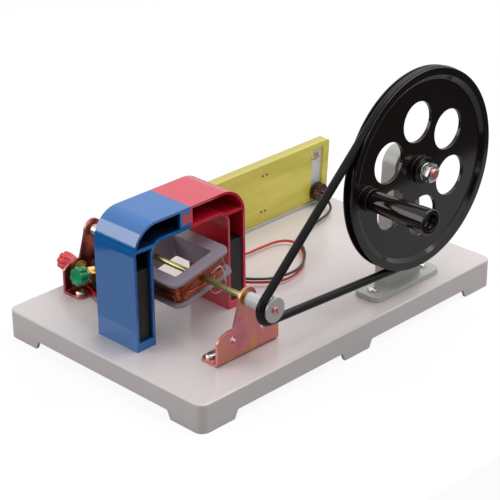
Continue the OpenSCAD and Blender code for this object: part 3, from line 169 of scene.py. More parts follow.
def tube(path, radius, sides, loop=False, up=(0, 0, 1)):
    """Tube: at each point of the path a circle of the radius stands square to the path.

    radius is one number or one per point; the ends of an open tube close to a point in their middle.
    """
    p = np.asarray(path, float)
    if loop:
        along = unit(np.roll(p, -1, axis=0) - np.roll(p, 1, axis=0))
    else:
        along = unit(np.gradient(p, axis=0))
    side = unit(np.cross(along, up))
    top = np.cross(side, along)
    angle = np.linspace(0, 2 * math.pi, sides, endpoint=False)
    r = np.broadcast_to(np.asarray(radius, float), len(p))[:, None, None]
    rings = p[:, None, :] + r * (np.cos(angle)[None, :, None] * side[:, None, :]
                                 + np.sin(angle)[None, :, None] * top[:, None, :])
    if not loop:
        ends = [np.repeat(p[k][None, None, :], sides, axis=1) for k in (0, -1)]
        rings = np.concatenate([ends[0], rings, ends[1]])
    return rings


def turned(along, radius, centre, axis):
    """Surface round an axis: at each distance along it stands a ring, of one radius or one per angle."""
    axis = unit(np.asarray(axis, float))
    side = unit(np.cross(axis, (0, 0, 1) if abs(axis[2]) < 0.9 else (1, 0, 0)))
    top = np.cross(axis, side)
    angle = np.linspace(0, 2 * math.pi, radius.shape[1], endpoint=False)
    around = np.cos(angle)[:, None] * side + np.sin(angle)[:, None] * top
    return np.asarray(centre) + along[:, None, None] * axis + radius[:, :, None] * around[None]


def rounded_corner(before, corner, after, radius, steps):
    """Points of an arc that rounds one corner of an outline, tangent to both of its sides."""
    before, corner, after = (np.asarray(v, float) for v in (before, corner, after))
    a, b = unit(before - corner), unit(after - corner)
    half = math.acos(float(np.clip(a @ b, -1, 1))) / 2
    reach = min(radius / math.tan(half), 0.49 * np.linalg.norm(before - corner),
                0.49 * np.linalg.norm(after - corner))
    radius = reach * math.tan(half)
    centre = corner + unit(a + b) * radius / math.sin(half)
    start, end = corner + a * reach - centre, corner + b * reach - centre
    t = np.linspace(0, 1, steps)[:, None]
    turn = math.pi - 2 * half
    return centre + (np.sin((1 - t) * turn) * start + np.sin(t * turn) * end) / math.sin(turn)


def rounded_profile(corners, steps=5):
    """Open outline of (x, y, rounding) corners, with each inner corner replaced by its arc."""
    xy = [np.array(c[:2], float) for c in corners]
    parts = [xy[0][None]]
    for k in range(1, len(xy) - 1):
        if corners[k][2] > 0:
            parts.append(rounded_corner(xy[k - 1], xy[k], xy[k + 1], corners[k][2], steps))
        else:
            parts.append(xy[k][None])
    return np.concatenate(parts + [xy[-1][None]])


# Shader maths

class Sock:
    """A node socket in an expression: sums, products and powers of it add their Math nodes."""

    def __init__(self, nodes, socket):
        self.nodes = nodes
        self.socket = socket

    def math(self, operation, *others):
        """What a Math node makes of this socket and the others."""
        return self.nodes.node("ShaderNodeMath", {"operation": operation},
                               dict(enumerate((self,) + others)))

    def __add__(self, other):
        return self.math("ADD", other)

    __radd__ = __add__

    def __sub__(self, other):
        return self.math("SUBTRACT", other)

    def __rsub__(self, other):
        return self.nodes.value(other).math("SUBTRACT", self)

    def __mul__(self, other):
        return self.math("MULTIPLY", other)

    __rmul__ = __mul__

    def __pow__(self, other):
        return self.math("POWER", other)

    def ramp(self, low, high):
        """The value carried smoothly from low..high to 0..1, and held outside."""
        return self.nodes.node("ShaderNodeMapRange", {"interpolation_type": "SMOOTHSTEP"},
                               {0: self, 1: low, 2: high})


class Nodes:
    """The node tree of a material or a world, with methods that add to it."""

    def __init__(self, tree):
        self.tree = tree

    def plug(self, socket, value):
        """Gives a socket a link, a colour or a number."""
        if isinstance(value, Sock):
            self.tree.links.new(value.socket, socket)
        elif hasattr(value, "__len__") and len(value) == 3 and len(socket.default_value) == 4:
            socket.default_value = (*value, 1.0)
        else:
            socket.default_value = value

    def node(self, kind, settings=None, inputs=None, output=0):
        """Adds a node: its settings first, then the values or links of its sockets."""
        node = self.tree.nodes.new(kind)
        for key, value in (settings or {}).items():
            if key == "stops":
                self.fill_ramp(node.color_ramp, value)
            else:
                setattr(node, key, value)
        for key, value in (inputs or {}).items():
            self.plug(node.inputs[key], value)
        return Sock(self, node.outputs[output])

    @staticmethod
    def fill_ramp(ramp, stops):
        """Gives a colour ramp its stops, each a place and a colour."""
        while len(ramp.elements) < len(stops):
            ramp.elements.new(1.0)
        for element, (place, colour) in zip(ramp.elements, stops):
            element.position = place
            element.color = (*colour, 1.0)

    def value(self, number):
        """A number as a socket, for an expression that starts with it."""
        return self.node("ShaderNodeMath", {"operation": "ADD"}, {0: number, 1: 0.0})

    def seen(self, in_gloss=1.0):
        """1 for what the camera sees itself or through glass, a share in gloss, and 0 for light."""
        kinds = ("Is Camera Ray", "Is Glossy Ray", "Is Transmission Ray")
        camera, gloss, glass = (self.node("ShaderNodeLightPath", output=kind) for kind in kinds)
        return camera.math("MAXIMUM", gloss * in_gloss).math("MAXIMUM", glass)


class Finish(Nodes):
    """One procedural material: its principled shader, and the nodes that vary its sockets."""

    def __init__(self, name, colour, roughness, **fixed):
        self.material = bpy.data.materials.new(name)
        self.material.use_nodes = True
        super().__init__(self.material.node_tree)
        self.shader = self.tree.nodes["Principled BSDF"]
        self.set("Base Color", (*colour, 1.0))
        self.set("Roughness", roughness)
        for key, value in fixed.items():
            self.set(key.replace("_", " ").title().replace("Ior", "IOR"), value)
        self.material.diffuse_color = (*colour, 1.0)

    def set(self, name, value):
        """Puts a constant on the shader's own socket, or links a node to it."""
        self.plug(self.shader.inputs[name], value)

    def place(self, scale=(1, 1, 1), shift=(0, 0, 0)):
        """Object coordinates, stretched and shifted."""
        where = self.node("ShaderNodeTexCoord", output="Object")
        return self.node("ShaderNodeMapping", None, {"Vector": where, "Scale": scale, "Location": shift})

    def coordinate(self, axis):
        """One object coordinate, in metres: 0, 1 or 2 for X, Y or Z."""
        return self.node("ShaderNodeSeparateXYZ", None, {0: self.place()}, output=axis)

    def noise(self, where, scale, detail=2.0, rough=0.5, distortion=0.0):
        """Cloudy noise, whose lumps are about a metre wide divided by the scale."""
        return self.node("ShaderNodeTexNoise", None,
                         {"Vector": where, "Scale": scale, "Detail": detail, "Roughness": rough,
                          "Distortion": distortion})

    def mix(self, share, a, b):
        """Colour a turned into colour b by the share."""
        return self.node("ShaderNodeMix", {"data_type": "RGBA"}, {0: share, 6: a, 7: b}, output=2)

    def scaled(self, colour, amount):
        """A colour made lighter or darker by a number that may vary."""
        return self.node("ShaderNodeVectorMath", {"operation": "SCALE"}, {0: colour, 3: amount})

    def bump(self, height, distance):
        """Feeds Normal from a height, which is distance metres high where it is 1."""
        self.set("Normal", self.node("ShaderNodeBump", None, {"Distance": distance, "Height": height}))


# Finishes

def srgb(red, green, blue):
    """A colour read as it looks, 0 to 255, turned to the linear values that shaders use."""
    c = np.array([red, green, blue]) / 255
    return tuple(float(x) for x in np.where(c <= 0.04045, c / 12.92, ((c + 0.055) / 1.055) ** 2.4))


def corner_distance(x, z, corner_x, corner_z):
    """How far a point lies beyond the middle of a rounded corner, over the outline's sides too."""
    out_x = (x - corner_x).math("MAXIMUM", 0)
    out_z = (z - corner_z).math("MAXIMUM", 0)
    return (out_x * out_x + out_z * out_z) ** 0.5


def moulded(name, colour, roughness, grain=0.00002, grain_scale=900, shade=0.06, **fixed):
    """Moulded plastic: faint flow clouds in its colour, uneven gloss and a fine skin."""
    f = Finish(name, colour, roughness, **fixed)
    where = f.place()
    clouds = f.noise(where, 26, 3)
    skin = f.noise(where, grain_scale, 2)
    scuffs = f.noise(f.place(scale=(1, 1, 6)), 60, 6, 0.7).ramp(0.52, 0.74)
    f.set("Base Color", f.scaled(colour, clouds * shade + (1 - shade / 2)))
    f.set("Roughness", clouds * (0.35 * roughness) + scuffs * 0.05 + roughness * 0.8)
    f.bump(skin, grain)
    return f.material


def housing_plastic(name, colour, shade_colour):
    """Glossy housing of a magnet pole, with painted shade inside its open shell and along the inner edge of its
    arch.

    The shell's inside is where the distance to the outer outline's rounded corner is under its radius
    less the wall, and the distance to the inner outline's is over its radius plus the wall.
    """
    f = Finish(name, colour, 0.09, ior=1.8)
    high = max(box(node)[1][2] for node in HOUSINGS)
    front = min(box(node)[0][1] for node in HOUSINGS)
    back = max(box(node)[1][1] for node in HOUSINGS)
    half = max(abs(box(node)[k][0] - ROTOR[0]) for node in HOUSINGS for k in (0, 1))
    across = (f.coordinate(0) - float(ROTOR[0])).math("ABSOLUTE")
    y, z = f.coordinate(1), f.coordinate(2)
    outer = corner_distance(across, z, half - OUTER_R, high - OUTER_R)
    inner = corner_distance(across, z, half - LEG - INNER_R, high - CROWN - INNER_R)
    blend = 0.3 * MM
    wall = SHELL_WALL
    # Painted shade: the open shell's inside is mixed towards the darker shade colour
    inside = ((1 - outer.ramp(OUTER_R - wall - blend, OUTER_R - wall))
              * inner.ramp(INNER_R + wall, INNER_R + wall + blend)
              * y.ramp(front + 0.5 * MM, front + 3 * MM)
              * (1 - y.ramp(back - 2 * blend, back - blend)))
    # Painted shade along the inner edge of the arch, as in a recess
    arch = (1 - inner.ramp(INNER_R + 0.1 * MM, INNER_R + 2 * blend)) * 0.6
    clouds = f.noise(f.place(), 30, 3)
    shade = f.mix(inside.math("MAXIMUM", arch), colour, shade_colour)
    f.set("Base Color", f.scaled(shade, clouds * 0.05 + 0.975))
    f.set("Roughness", inside * 0.3 + arch * 0.4 + clouds * 0.05 + 0.06)
    f.bump(f.noise(f.place(), 400, 2), 0.000003)
    return f.material


def metal(name, colour, roughness, brushed=(1, 1, 1), tint=None):
    """Metal: fine drawn lines, dull patches and, where given, a second tint in clouds."""
    f = Finish(name, colour, roughness, metallic=1.0)
    lines = f.noise(f.place(scale=brushed), 1400, 3, 0.6)
    patches = f.noise(f.place(), 90, 5, 0.6)
    shade = f.mix(patches.ramp(0.42, 0.66), colour, tint or colour)
    f.set("Base Color", f.scaled(shade, lines * 0.16 + 0.92))
    f.set("Roughness", patches * 0.16 + lines * 0.08 + (roughness - 0.1))
    f.bump(lines, 0.000002)
    return f.material


def belt_rubber(colour, roughness):
    """Rubber of the belt: near black, with fine pits, dusty in patches."""
    f = Finish("belt_rubber", colour, roughness, ior=1.3)
    where = f.place()
    dust = f.noise(where, 45, 6, 0.65).ramp(0.5, 0.8)
    f.set("Base Color", f.mix(dust * 0.12, colour, srgb(60, 58, 60)))
    f.set("Roughness", dust * 0.2 + roughness)
    f.bump(f.noise(where, 1600, 2), 0.00003)
    return f.material


def bracket_zinc():
    """Zinc plated sheet with an iridescent film that drifts in clouds; the rear bracket's is maroon."""
    f = Finish("zinc_passivated", srgb(200, 130, 110), 0.3, metallic=1.0)
    where = f.place(scale=(1, 1, 0.6), shift=(0.012, 0, 0.035))
    drift = f.noise(where, 34, 4, 0.55, 0.6)
    streaks = f.noise(f.place(scale=(1, 1, 0.25), shift=(0.3, 0.1, 0)), 120, 3, 0.5, 0.3)
    film = f.node("ShaderNodeValToRGB", {"stops": [
        (0.30, srgb(150, 84, 96)), (0.43, srgb(206, 128, 140)), (0.52, srgb(212, 142, 122)),
        (0.60, srgb(208, 164, 92)), (0.68, srgb(188, 112, 108)), (0.80, srgb(166, 96, 128))]},
        {"Fac": drift * 0.75 + streaks * 0.25})
    maroon = f.mix(streaks.ramp(0.35, 0.65), srgb(158, 78, 84), srgb(204, 128, 114))
    rear = f.coordinate(1).ramp(0.0, 0.01)
    f.set("Base Color", f.mix(rear, film, maroon))
    f.set("Roughness", streaks * 0.25 + 0.2)
    f.bump(f.noise(f.place(), 1500, 3), 0.00001)
    return f.material


def panel_solder():
    """Solder at the panel's small leads: reddish with flux on the upper pair, dull grey on the lower."""
    f = Finish("tin", srgb(150, 110, 100), 0.4, metallic=0.8)
    low, high = (float(corner[2]) for corner in box("solder_joints"))
    upper = f.coordinate(2).ramp(0.5 * (low + high), 0.6 * high + 0.4 * low)
    stain = f.noise(f.place(), 700, 3).ramp(0.35, 0.65)
    flux = f.mix(stain, srgb(120, 40, 34), srgb(186, 104, 92))
    dull = f.mix(stain, srgb(66, 62, 56), srgb(128, 122, 112))
    f.set("Base Color", f.mix(upper, dull, flux))
    f.set("Roughness", stain * 0.2 + 0.3)
    f.bump(f.noise(f.place(), 1200, 2), 0.00002)
    return f.material


def panel_sheet():
    """Yellow-green sheet of the lamp panel, with flow lines, darker towards its foot, and a painted glow that
    stands in for light shining through the sheet.
    """
    f = Finish("clear_yellow", srgb(214, 206, 96), 0.25, emission_strength=1.0)
    flow = f.noise(f.place(scale=(1, 1, 7)), 9, 2).ramp(0.35, 0.7)
    depth = f.noise(f.place(), 30, 2)
    z = f.coordinate(2)
    low, high = (float(corner[2]) for corner in box("panel_cover"))
    rim = z.ramp(high - 0.8 * MM, high - 0.2 * MM)
    foot = 1 - z.ramp(low, low + 14 * MM)
    body = f.mix(flow, srgb(198, 190, 80), srgb(216, 208, 108))
    body = f.mix(foot * 0.5, body, srgb(160, 146, 56))
    f.set("Base Color", f.mix(rim, body, srgb(176, 168, 92)))
    # Painted glow: the emission adds the light that would come through the sheet from behind
    f.set("Emission Color", f.mix(flow, srgb(80, 72, 4), srgb(96, 88, 22)))
    f.set("Roughness", depth * 0.2 + 0.12)
    f.bump(f.noise(f.place(), 60, 1), 0.00002)
    return f.material


def bulb_glass():
    """Thin clear glass of the bulbs, with faint streaks."""
    f = Finish("clear_glass", (0.95, 0.97, 0.98), 0.03, ior=1.45, transmission_weight=1.0)
    f.bump(f.noise(f.place(), 90, 2), 0.00004)
    return f.material


def winding_copper():
    """Enamelled copper of the winding, darker and lighter from turn to turn: partly the enamel's own tone, partly
    painted shade between the turns.
    """
    f = Finish("copper_wire", srgb(188, 96, 56), 0.3, metallic=0.85, coat_weight=0.4)
    turns = f.noise(f.place(scale=(1, 1, 14)), 120, 3, 0.6)
    # The dark end of this mix is painted shade between the turns as well as the enamel's tone
    f.set("Base Color", f.mix(turns.ramp(0.3, 0.7), srgb(86, 29, 16), srgb(184, 92, 56)))
    f.set("Roughness", turns * 0.2 + 0.24)
    f.bump(f.noise(f.place(), 900, 2), 0.00002)
    return f.material


def make_materials(colours):
    """One material for each of the record's material slots and for each finish in OWN_FINISH."""
    return {
        "base_plastic": moulded("base_plastic", colours.tray, 0.17, grain=0.000002, shade=0.02),
        "blue_plastic": housing_plastic("blue_plastic", colours.blue_housing, srgb(3, 24, 54)),
        "red_plastic": housing_plastic("red_plastic", colours.red_housing, srgb(190, 8, 36)),
        "ferrite": moulded("ferrite", srgb(20, 19, 21), 0.5, grain=0.00006, grain_scale=1400, shade=0.3),
        "zinc_steel": bracket_zinc(),
        "bright_steel": metal("bright_steel", srgb(205, 204, 202), 0.24),
        "axle_steel": metal("axle_steel", srgb(196, 188, 128), 0.28, brushed=(1, 0.1, 1),
                            tint=srgb(176, 178, 104)),
        "brass": metal("brass", srgb(206, 170, 98), 0.3, tint=srgb(178, 138, 72)),
        "copper": winding_copper(),
        "tin": panel_solder(),
        "dark_plastic": moulded("dark_plastic", srgb(148, 138, 150), 0.24, grain=0.00001,
                                grain_scale=700, shade=0.1),
        "phenolic": moulded("phenolic", srgb(62, 42, 34), 0.38, grain=0.00003, grain_scale=700,
                            shade=0.25),
        "white_nylon": moulded("white_nylon", srgb(200, 201, 204), 0.35, grain_scale=700, shade=0.04),
        "strip_white": moulded("strip_white", srgb(224, 226, 228), 0.3, grain_scale=700, shade=0.04),
        "pink_zinc": metal("pink_zinc", srgb(214, 150, 148), 0.34, tint=srgb(190, 120, 116)),
        "pulley_metal": metal("pulley_metal", srgb(186, 183, 182), 0.34),
        "belt_rubber": belt_rubber(colours.belt, 0.3),
        "black_plastic": moulded("black_plastic", colours.flywheel, 0.1, grain=0.000002,
                                 grain_scale=500, shade=0.1, ior=1.46),
        "cast_grey": moulded("cast_grey", colours.pedestal, 0.24, grain_scale=700, shade=0.08),
        "panel_plastic": panel_sheet(),
        "rail_metal": metal("rail_metal", srgb(190, 191, 188), 0.34, brushed=(0.1, 1, 1)),
        "bulb_glass": bulb_glass(),
        "led_plastic": moulded("led_plastic", srgb(120, 140, 90), 0.12, ior=1.5),
        "olive_insulator": moulded("olive_insulator", srgb(150, 140, 62), 0.4),
        "green_knob_plastic": moulded("green_knob_plastic", colours.green_knob, 0.2),
        "red_knob_plastic": moulded("red_knob_plastic", colours.red_knob, 0.2),
        "red_sleeve": moulded("red_sleeve", colours.red_lead, 0.3),
        "black_sleeve": moulded("black_sleeve", colours.black_lead, 0.3),
    }


# Filled by the first operator
MATERIALS = {}


# Settings

class StageSettings(bpy.types.PropertyGroup):
    """Floor, lamps and camera."""
    floor_size: FloatProperty(name="Floor size", description="Side of the square floor",
                              default=12.0, min=2.0, unit="LENGTH")
    sky_light: FloatProperty(name="Sky light", description="Strength of the light from all round",
                             default=0.4, min=0)
    camera_place: FloatVectorProperty(name="Camera", description="Where the camera stands",
                                      default=(-0.82507, -0.819155, 0.612219), subtype="XYZ",
                                      unit="LENGTH", precision=5)
    camera_yaw: FloatProperty(name="Yaw", description="Heading of the camera, from +Y towards +X",
                              default=math.radians(45.0111), subtype="ANGLE")
    camera_pitch: FloatProperty(name="Pitch", description="How far the camera looks down",
                                default=math.radians(25.9019), subtype="ANGLE")
    camera_roll: FloatProperty(name="Roll", description="Turn of the camera about its own line of sight",
                               default=math.radians(-0.5988), subtype="ANGLE")
    camera_lens: FloatProperty(name="Lens", description="Focal length on a sensor 36 mm wide",
                               default=129.26, min=20)


def colour_property(name, description, default):
    """A colour that a user can change."""
    return FloatVectorProperty(name=name, description=description, default=default, subtype="COLOR",
                               min=0, max=1)


class ColourSettings(bpy.types.PropertyGroup):
    """Colours of the pieces that show most."""
    tray: colour_property("Tray", "Colour of the base tray", srgb(211, 203, 203))
    blue_housing: colour_property("Blue housing", "Colour of the blue magnet housing", srgb(0, 102, 178))
    red_housing: colour_property("Red housing", "Colour of the red magnet housing", srgb(208, 36, 64))
    flywheel: colour_property("Flywheel", "Colour of flywheel, grip and lamp holders", srgb(24, 17, 15))
    pedestal: colour_property("Pedestal", "Colour of the flywheel's pedestal", srgb(188, 190, 184))
    belt: colour_property("Belt", "Colour of the belt's rubber", srgb(10, 9, 11))
    green_knob: colour_property("Green knob", "Colour of the green terminal knob", srgb(24, 150, 98))
    red_knob: colour_property("Red knob", "Colour of the red terminal knob", srgb(222, 48, 64))
    red_lead: colour_property("Red lead", "Colour of the red lead's sleeve", srgb(196, 26, 38))
    black_lead: colour_property("Black lead", "Colour of the black lead's sleeve", srgb(26, 25, 26))


class EdgeSettings(bpy.types.PropertyGroup):
    """Rounded edges."""
    scale: FloatProperty(name="Rounding", description="Share of the usual rounding of edges",
                         default=1.0, min=0.1, max=2.0)
    tray_corner: FloatProperty(name="Tray corner", description="Radius of the tray's upright corners",
                               default=7 * MM, min=TRAY_CORNER, unit="LENGTH")


class WindingSettings(bpy.types.PropertyGroup):
    """Rotor winding."""
    wire: FloatProperty(name="Wire", description="Diameter of the enamelled copper wire",
                        default=0.9 * MM, min=0.3 * MM, unit="LENGTH")
    layers: IntProperty(name="Layers", description="Layers of turns, one on the other", default=5, min=1)
    turns: IntProperty(name="Turns", description="Turns in a layer of one pack", default=6, min=2)
    tilt: FloatProperty(name="Tilt", description="Turn of the resting rotor about its axle",
                        default=math.radians(-12.4), subtype="ANGLE")


class KnobSettings(bpy.types.PropertyGroup):
    """Fluted terminal knobs."""
    diameter: FloatProperty(name="Knob diameter", description="Diameter over the lobes",
                            default=14.0 * MM, min=5 * MM, unit="LENGTH")
    neck: FloatProperty(name="Knob neck", description="Diameter of the end against the washer",
                        default=9.0 * MM, min=4 * MM, unit="LENGTH")
    lobes: IntProperty(name="Lobes", description="Lobes round the rim", default=8, min=4)
    flute: FloatProperty(name="Flute", description="Depth of the flutes between the lobes",
                         default=1.3 * MM, min=0, unit="LENGTH")
    band: FloatProperty(name="Fluted band", description="Length of the full-width fluted band",
                        default=6.2 * MM, min=1 * MM, unit="LENGTH")
    cap: FloatProperty(name="Cap", description="Plastic left in front of the post's bore",
                       default=2.2 * MM, min=0.5 * MM, unit="LENGTH")
    bore: FloatProperty(name="Bore", description="Diameter of the bore that takes the post",
                        default=4.4 * MM, min=1 * MM, unit="LENGTH")


class TailSettings(bpy.types.PropertyGroup):
    """Bare wire ends."""
    wire: FloatProperty(name="Tail wire", description="Diameter of the winding's tails",
                        default=0.32 * MM, min=0.2 * MM, unit="LENGTH")
    sleeve: FloatProperty(name="Sleeve", description="Diameter of the tail's white sleeve",
                          default=0.9 * MM, min=0.3 * MM, unit="LENGTH")
    sleeved: FloatProperty(name="Sleeved share", description="Share of the tail inside its sleeve",
                           default=0.42, min=0, max=1)


class BeltSettings(bpy.types.PropertyGroup):
    """Round drive belt."""
    diameter: FloatProperty(name="Belt diameter", description="Thickness of the round belt",
                            default=6.0 * MM, min=2 * MM, unit="LENGTH")
    groove_sink: FloatProperty(name="Groove sink", description="Belt's middle below the wheel's edge",
                               default=2.5 * MM, min=0, unit="LENGTH")
    rings: IntProperty(name="Rings", description="Rings of the belt's surface", default=640, min=60)


class LeadSettings(bpy.types.PropertyGroup):
    """Sleeved lead wires."""
    diameter: FloatProperty(name="Lead diameter", description="Outer diameter of a lead's sleeve",
                            default=2.0 * MM, min=0.5 * MM, unit="LENGTH")
    red_length: FloatProperty(name="Red lead", description="Real length of the red lead",
                              default=0.33, min=0.1, unit="LENGTH")
    black_length: FloatProperty(name="Black lead", description="Real length of the black lead",
                                default=0.262, min=0.1, unit="LENGTH")


# Cords and belt

# The points of the leads' routes and of the winding's tail, in millimetres
RED_ROUTE = [
    (14, 46, 28), (12, 39.5, 25.5), (18, 35, 24.6), (27, 33.5, 24.6), (36, 33.5, 24.6), (45, 33, 24.6),
    (54, 32, 24.6), (61, 28, 24.6), (63.5, 21, 24.6), (61, 13.5, 24.6), (56.5, 6.5, 24.6), (51, 0, 24.6),
    (44.5, -6, 24.6), (37, -11.5, 24.6), (28.5, -15, 24.6), (19.5, -16.5, 24.6), (11, -15.5, 24.6),
    (3.5, -11.5, 24.6), (-3, -6, 24.6), (-9, 1, 24.6), (-14.5, 9, 24.6), (-19.5, 18, 24.6),
    (-26, 27, 24.6), (-36, 31, 24.6), (-47, 32.5, 24.6), (-58, 33, 24.6), (-69, 33, 24.6),
    (-80, 33.5, 24.6), (-90, 36, 24.6), (-97.5, 43, 24.6), (-101, 52, 24.6), (-99.5, 61, 24.8),
    (-96, 69, 25.2), (-93.5, 76, 25.2), (-93, 82, 25.2),
]
BLACK_ROUTE = [
    (131, 49, 28.5), (126.5, 42, 26), (118, 37.5, 25), (109, 35, 25), (100, 33, 25), (91, 30.5, 25),
    (82, 28, 25.5), (74, 24.5, 26.3), (67, 19, 27.2), (61.5, 12.5, 27.2), (56.5, 5.5, 27.2),
    (51, -1, 27.2), (44, -7, 27.2), (36.5, -12, 27.2), (28, -15, 27.2), (19.5, -15.5, 27.2),
    (11, -14, 27.2), (3.5, -11, 27.2), (-3, -5.5, 27.2), (-9, 1.5, 27.2), (-14, 9.5, 27.2),
    (-18.5, 18, 27.2), (-25, 27.5, 27.2), (-34, 33.5, 27.2), (-43, 38.5, 26.5), (-51, 44, 25.5),
    (-59, 49, 24.6),
]
TAIL_ROUTE = [
    (7, -28.5, 1.2), (9.3, -31.2, 5), (12, -32.3, 6.2), (14.6, -32.6, 2.4), (15.9, -32.6, -4),
    (16.6, -32.6, -8.9), (12.9, -32.6, -12.1), (6.2, -32.6, -11.9), (2.5, -32.4, -8.2),
    (4.5, -31.8, -4.6), (8.3, -30.2, -1.6), (10, -28.2, -0.6),
]
# The panel's lower right corner in front, its lean, and places on it, in millimetres
PANEL_FOOT = np.array([145.0, 64.3, 23.0])
PANEL_LEAN = math.radians(4)
LAMP_HEIGHT = 9.5
EYELET_HEIGHT = 40
LUG_FRONT = 6.6
WINDOW_X = (-12.5, -127.5)
# Where the leads end: on the red terminal's lug and beside the brush block, in millimetres
RED_LUG_END = (-93.0, 84.5, 28.5)
BRUSH_SIDE = (-70.2, 51.0, 24.5)


def panel_point(x, y, z):
    """A point of the leaning panel, from its right end, its front face and its lower edge, in mm."""
    cos_lean, sin_lean = math.cos(PANEL_LEAN), math.sin(PANEL_LEAN)
    return PANEL_FOOT + np.array([x, y * cos_lean - z * sin_lean, y * sin_lean + z * cos_lean])


def lead_paths(thick):
    """Centre lines of the red and the black lead, in metres; thick is their diameter in mm."""
    steps = (0, thick, 2 * thick)
    red_start, black_start = ([panel_point(x, -LUG_FRONT - out, LAMP_HEIGHT) for out in steps]
                              for x in (WINDOW_X[1], WINDOW_X[0]))
    red_end = [np.subtract(RED_LUG_END, (0, 0, drop)) for drop in (thick, 0)]
    black_end = [np.add(BRUSH_SIDE, (out, 0, 0)) for out in (2 * thick, thick, 0)]
    red = np.array([*red_start, *RED_ROUTE, *red_end]) * MM
    black = np.array([*black_start, *BLACK_ROUTE, *black_end]) * MM
    return smooth_path(red, per_span=12), smooth_path(black, per_span=12)


class GENERATOR_OT_leads(bpy.types.Operator):
    """Makes the red and the black lead along their routes."""
    bl_idname = "generator.leads"
    bl_label = "Leads"

    def execute(self, context):
        leads = context.scene.generator_leads
        red, black = lead_paths(leads.diameter / MM)
        for name, path, length, slot in (("red_lead_wire", red, leads.red_length, "red_sleeve"),
                                         ("black_lead_wire", black, leads.black_length, "black_sleeve")):
            mesh = make_mesh(name, [(tube(path, leads.diameter / 2, sides=16), False, True)])
            node = name.replace("_wire", "")
            wire = add_piece(name, mesh, "stand", slot, MATERIALS[slot], node)
        return {"FINISHED"}


def belt_line(settings):
    """Belt's middle line: an arc on the wheel and one on the small pulley, joined by two tangents."""
    wheel_r = (box("flywheel")[1] - box("flywheel")[0])[0] / 2 - settings.groove_sink
    pulley_r = wheel_r / COUPLED["rotor_spin"]
    across = np.array([WHEEL[0] - ROTOR[0], WHEEL[2] - ROTOR[2]])
    heading = math.atan2(across[1], across[0])
    spread = math.asin((wheel_r - pulley_r) / float(np.linalg.norm(across)))
    quarter = math.pi / 2
    arcs = []
    for centre, radius, start, turn in (
            (WHEEL, wheel_r, heading - quarter - spread, 2 * quarter + 2 * spread),
            (ROTOR, pulley_r, heading + quarter + spread, 2 * quarter - 2 * spread)):
        angle = start + np.linspace(0, turn, 97)
        arcs.append(np.stack([centre[0] + radius * np.cos(angle), np.full_like(angle, WHEEL[1]),
                              centre[2] + radius * np.sin(angle)], axis=-1))
    return evenly(np.concatenate([arcs[0], arcs[1], arcs[0][:1]]), settings.rings)


class GENERATOR_OT_loose_ends(bpy.types.Operator):
    """Makes the short loose wires: the winding's pale tail beside the axle, and those at the eyelets."""
    bl_idname = "generator.loose_ends"
    bl_label = "Loose wire ends"

    def execute(self, context):
        tails = context.scene.generator_tails
        tail = smooth_path(ROTOR + np.array(TAIL_ROUTE) * MM, per_span=12)
        sleeved = np.arange(len(tail)) < tails.sleeved * len(tail)
        radius = np.where(sleeved, tails.sleeve, tails.wire) / 2
        mesh = make_mesh("winding_tail", [(tube(tail, radius, sides=12, up=(0, 1, 0)), False, True)])
        add_piece("winding_tail", mesh, "rotor", "white_nylon", MATERIALS["white_nylon"])
        wires = []
        for x in WINDOW_X:
            route = [(x, -1.2, EYELET_HEIGHT), (x - 1.6, -1.9, EYELET_HEIGHT - 0.4),
                     (x - 4.2, -1.0, EYELET_HEIGHT - 1.5), (x - 6.6, -0.9, EYELET_HEIGHT - 1.1),
                     (x - 8.2, -0.4, EYELET_HEIGHT - 0.2)]
            line = smooth_path(np.array([panel_point(*point) for point in route]) * MM, per_span=8)
            # The eyelets' wire is twice as thick as the winding's tail
            wires.append((tube(line, tails.wire, sides=10), False, True))
        mesh = make_mesh("eyelet_wires", wires)
        add_piece("eyelet_wires", mesh, "stand", "copper", MATERIALS["copper"])
        return {"FINISHED"}


class GENERATOR_OT_belt(bpy.types.Operator):
    """Makes the round rubber belt, a tube along its closed middle line."""
    bl_idname = "generator.belt"
    bl_label = "Drive belt"

    def execute(self, context):
        belt = context.scene.generator_belt
        surface = tube(belt_line(belt), belt.diameter / 2, sides=32, loop=True, up=(0, 1, 0))
        mesh = make_mesh("round_belt", [(surface, True, True)])
        add_piece("round_belt", mesh, "stand", "belt_rubber", MATERIALS["belt_rubber"], "drive_belt")
        return {"FINISHED"}


# Winding

# Bobbin: half the sides and the corner of its core, and its middle beside the rotor's joint
CORE_HALF = (20 * MM, 22.8 * MM)
CORE_CORNER = 4.05 * MM
BOBBIN_Y = -0.8 * MM
BOBBIN_SLACK = 0.02 * MM
# A pack of wire lies between these distances from the bobbin's middle, further out beside the axle
PACK_START = 0.75 * MM
PACK_AT_AXLE = 3.7 * MM
PACK_END = 7.0 * MM
AXLE_SPREAD = 30 * MM
TURN_POINTS = 84


def rounded_loop(half_x, half_y, corner, count):
    """Points, evenly spaced, round a rectangle with rounded corners, from the middle of its +x side."""
    quarter = np.linspace(0, math.pi / 2, 9)
    arcs = []
    for k, (i, j) in enumerate(((1, 1), (-1, 1), (-1, -1), (1, -1))):
        angle = quarter + k * math.pi / 2
        arcs.append(np.stack([i * (half_x - corner) + corner * np.cos(angle),
                              j * (half_y - corner) + corner * np.sin(angle)], axis=-1))
    return evenly(np.concatenate([[(half_x, 0)], *arcs, [(half_x, 0)]]), count)


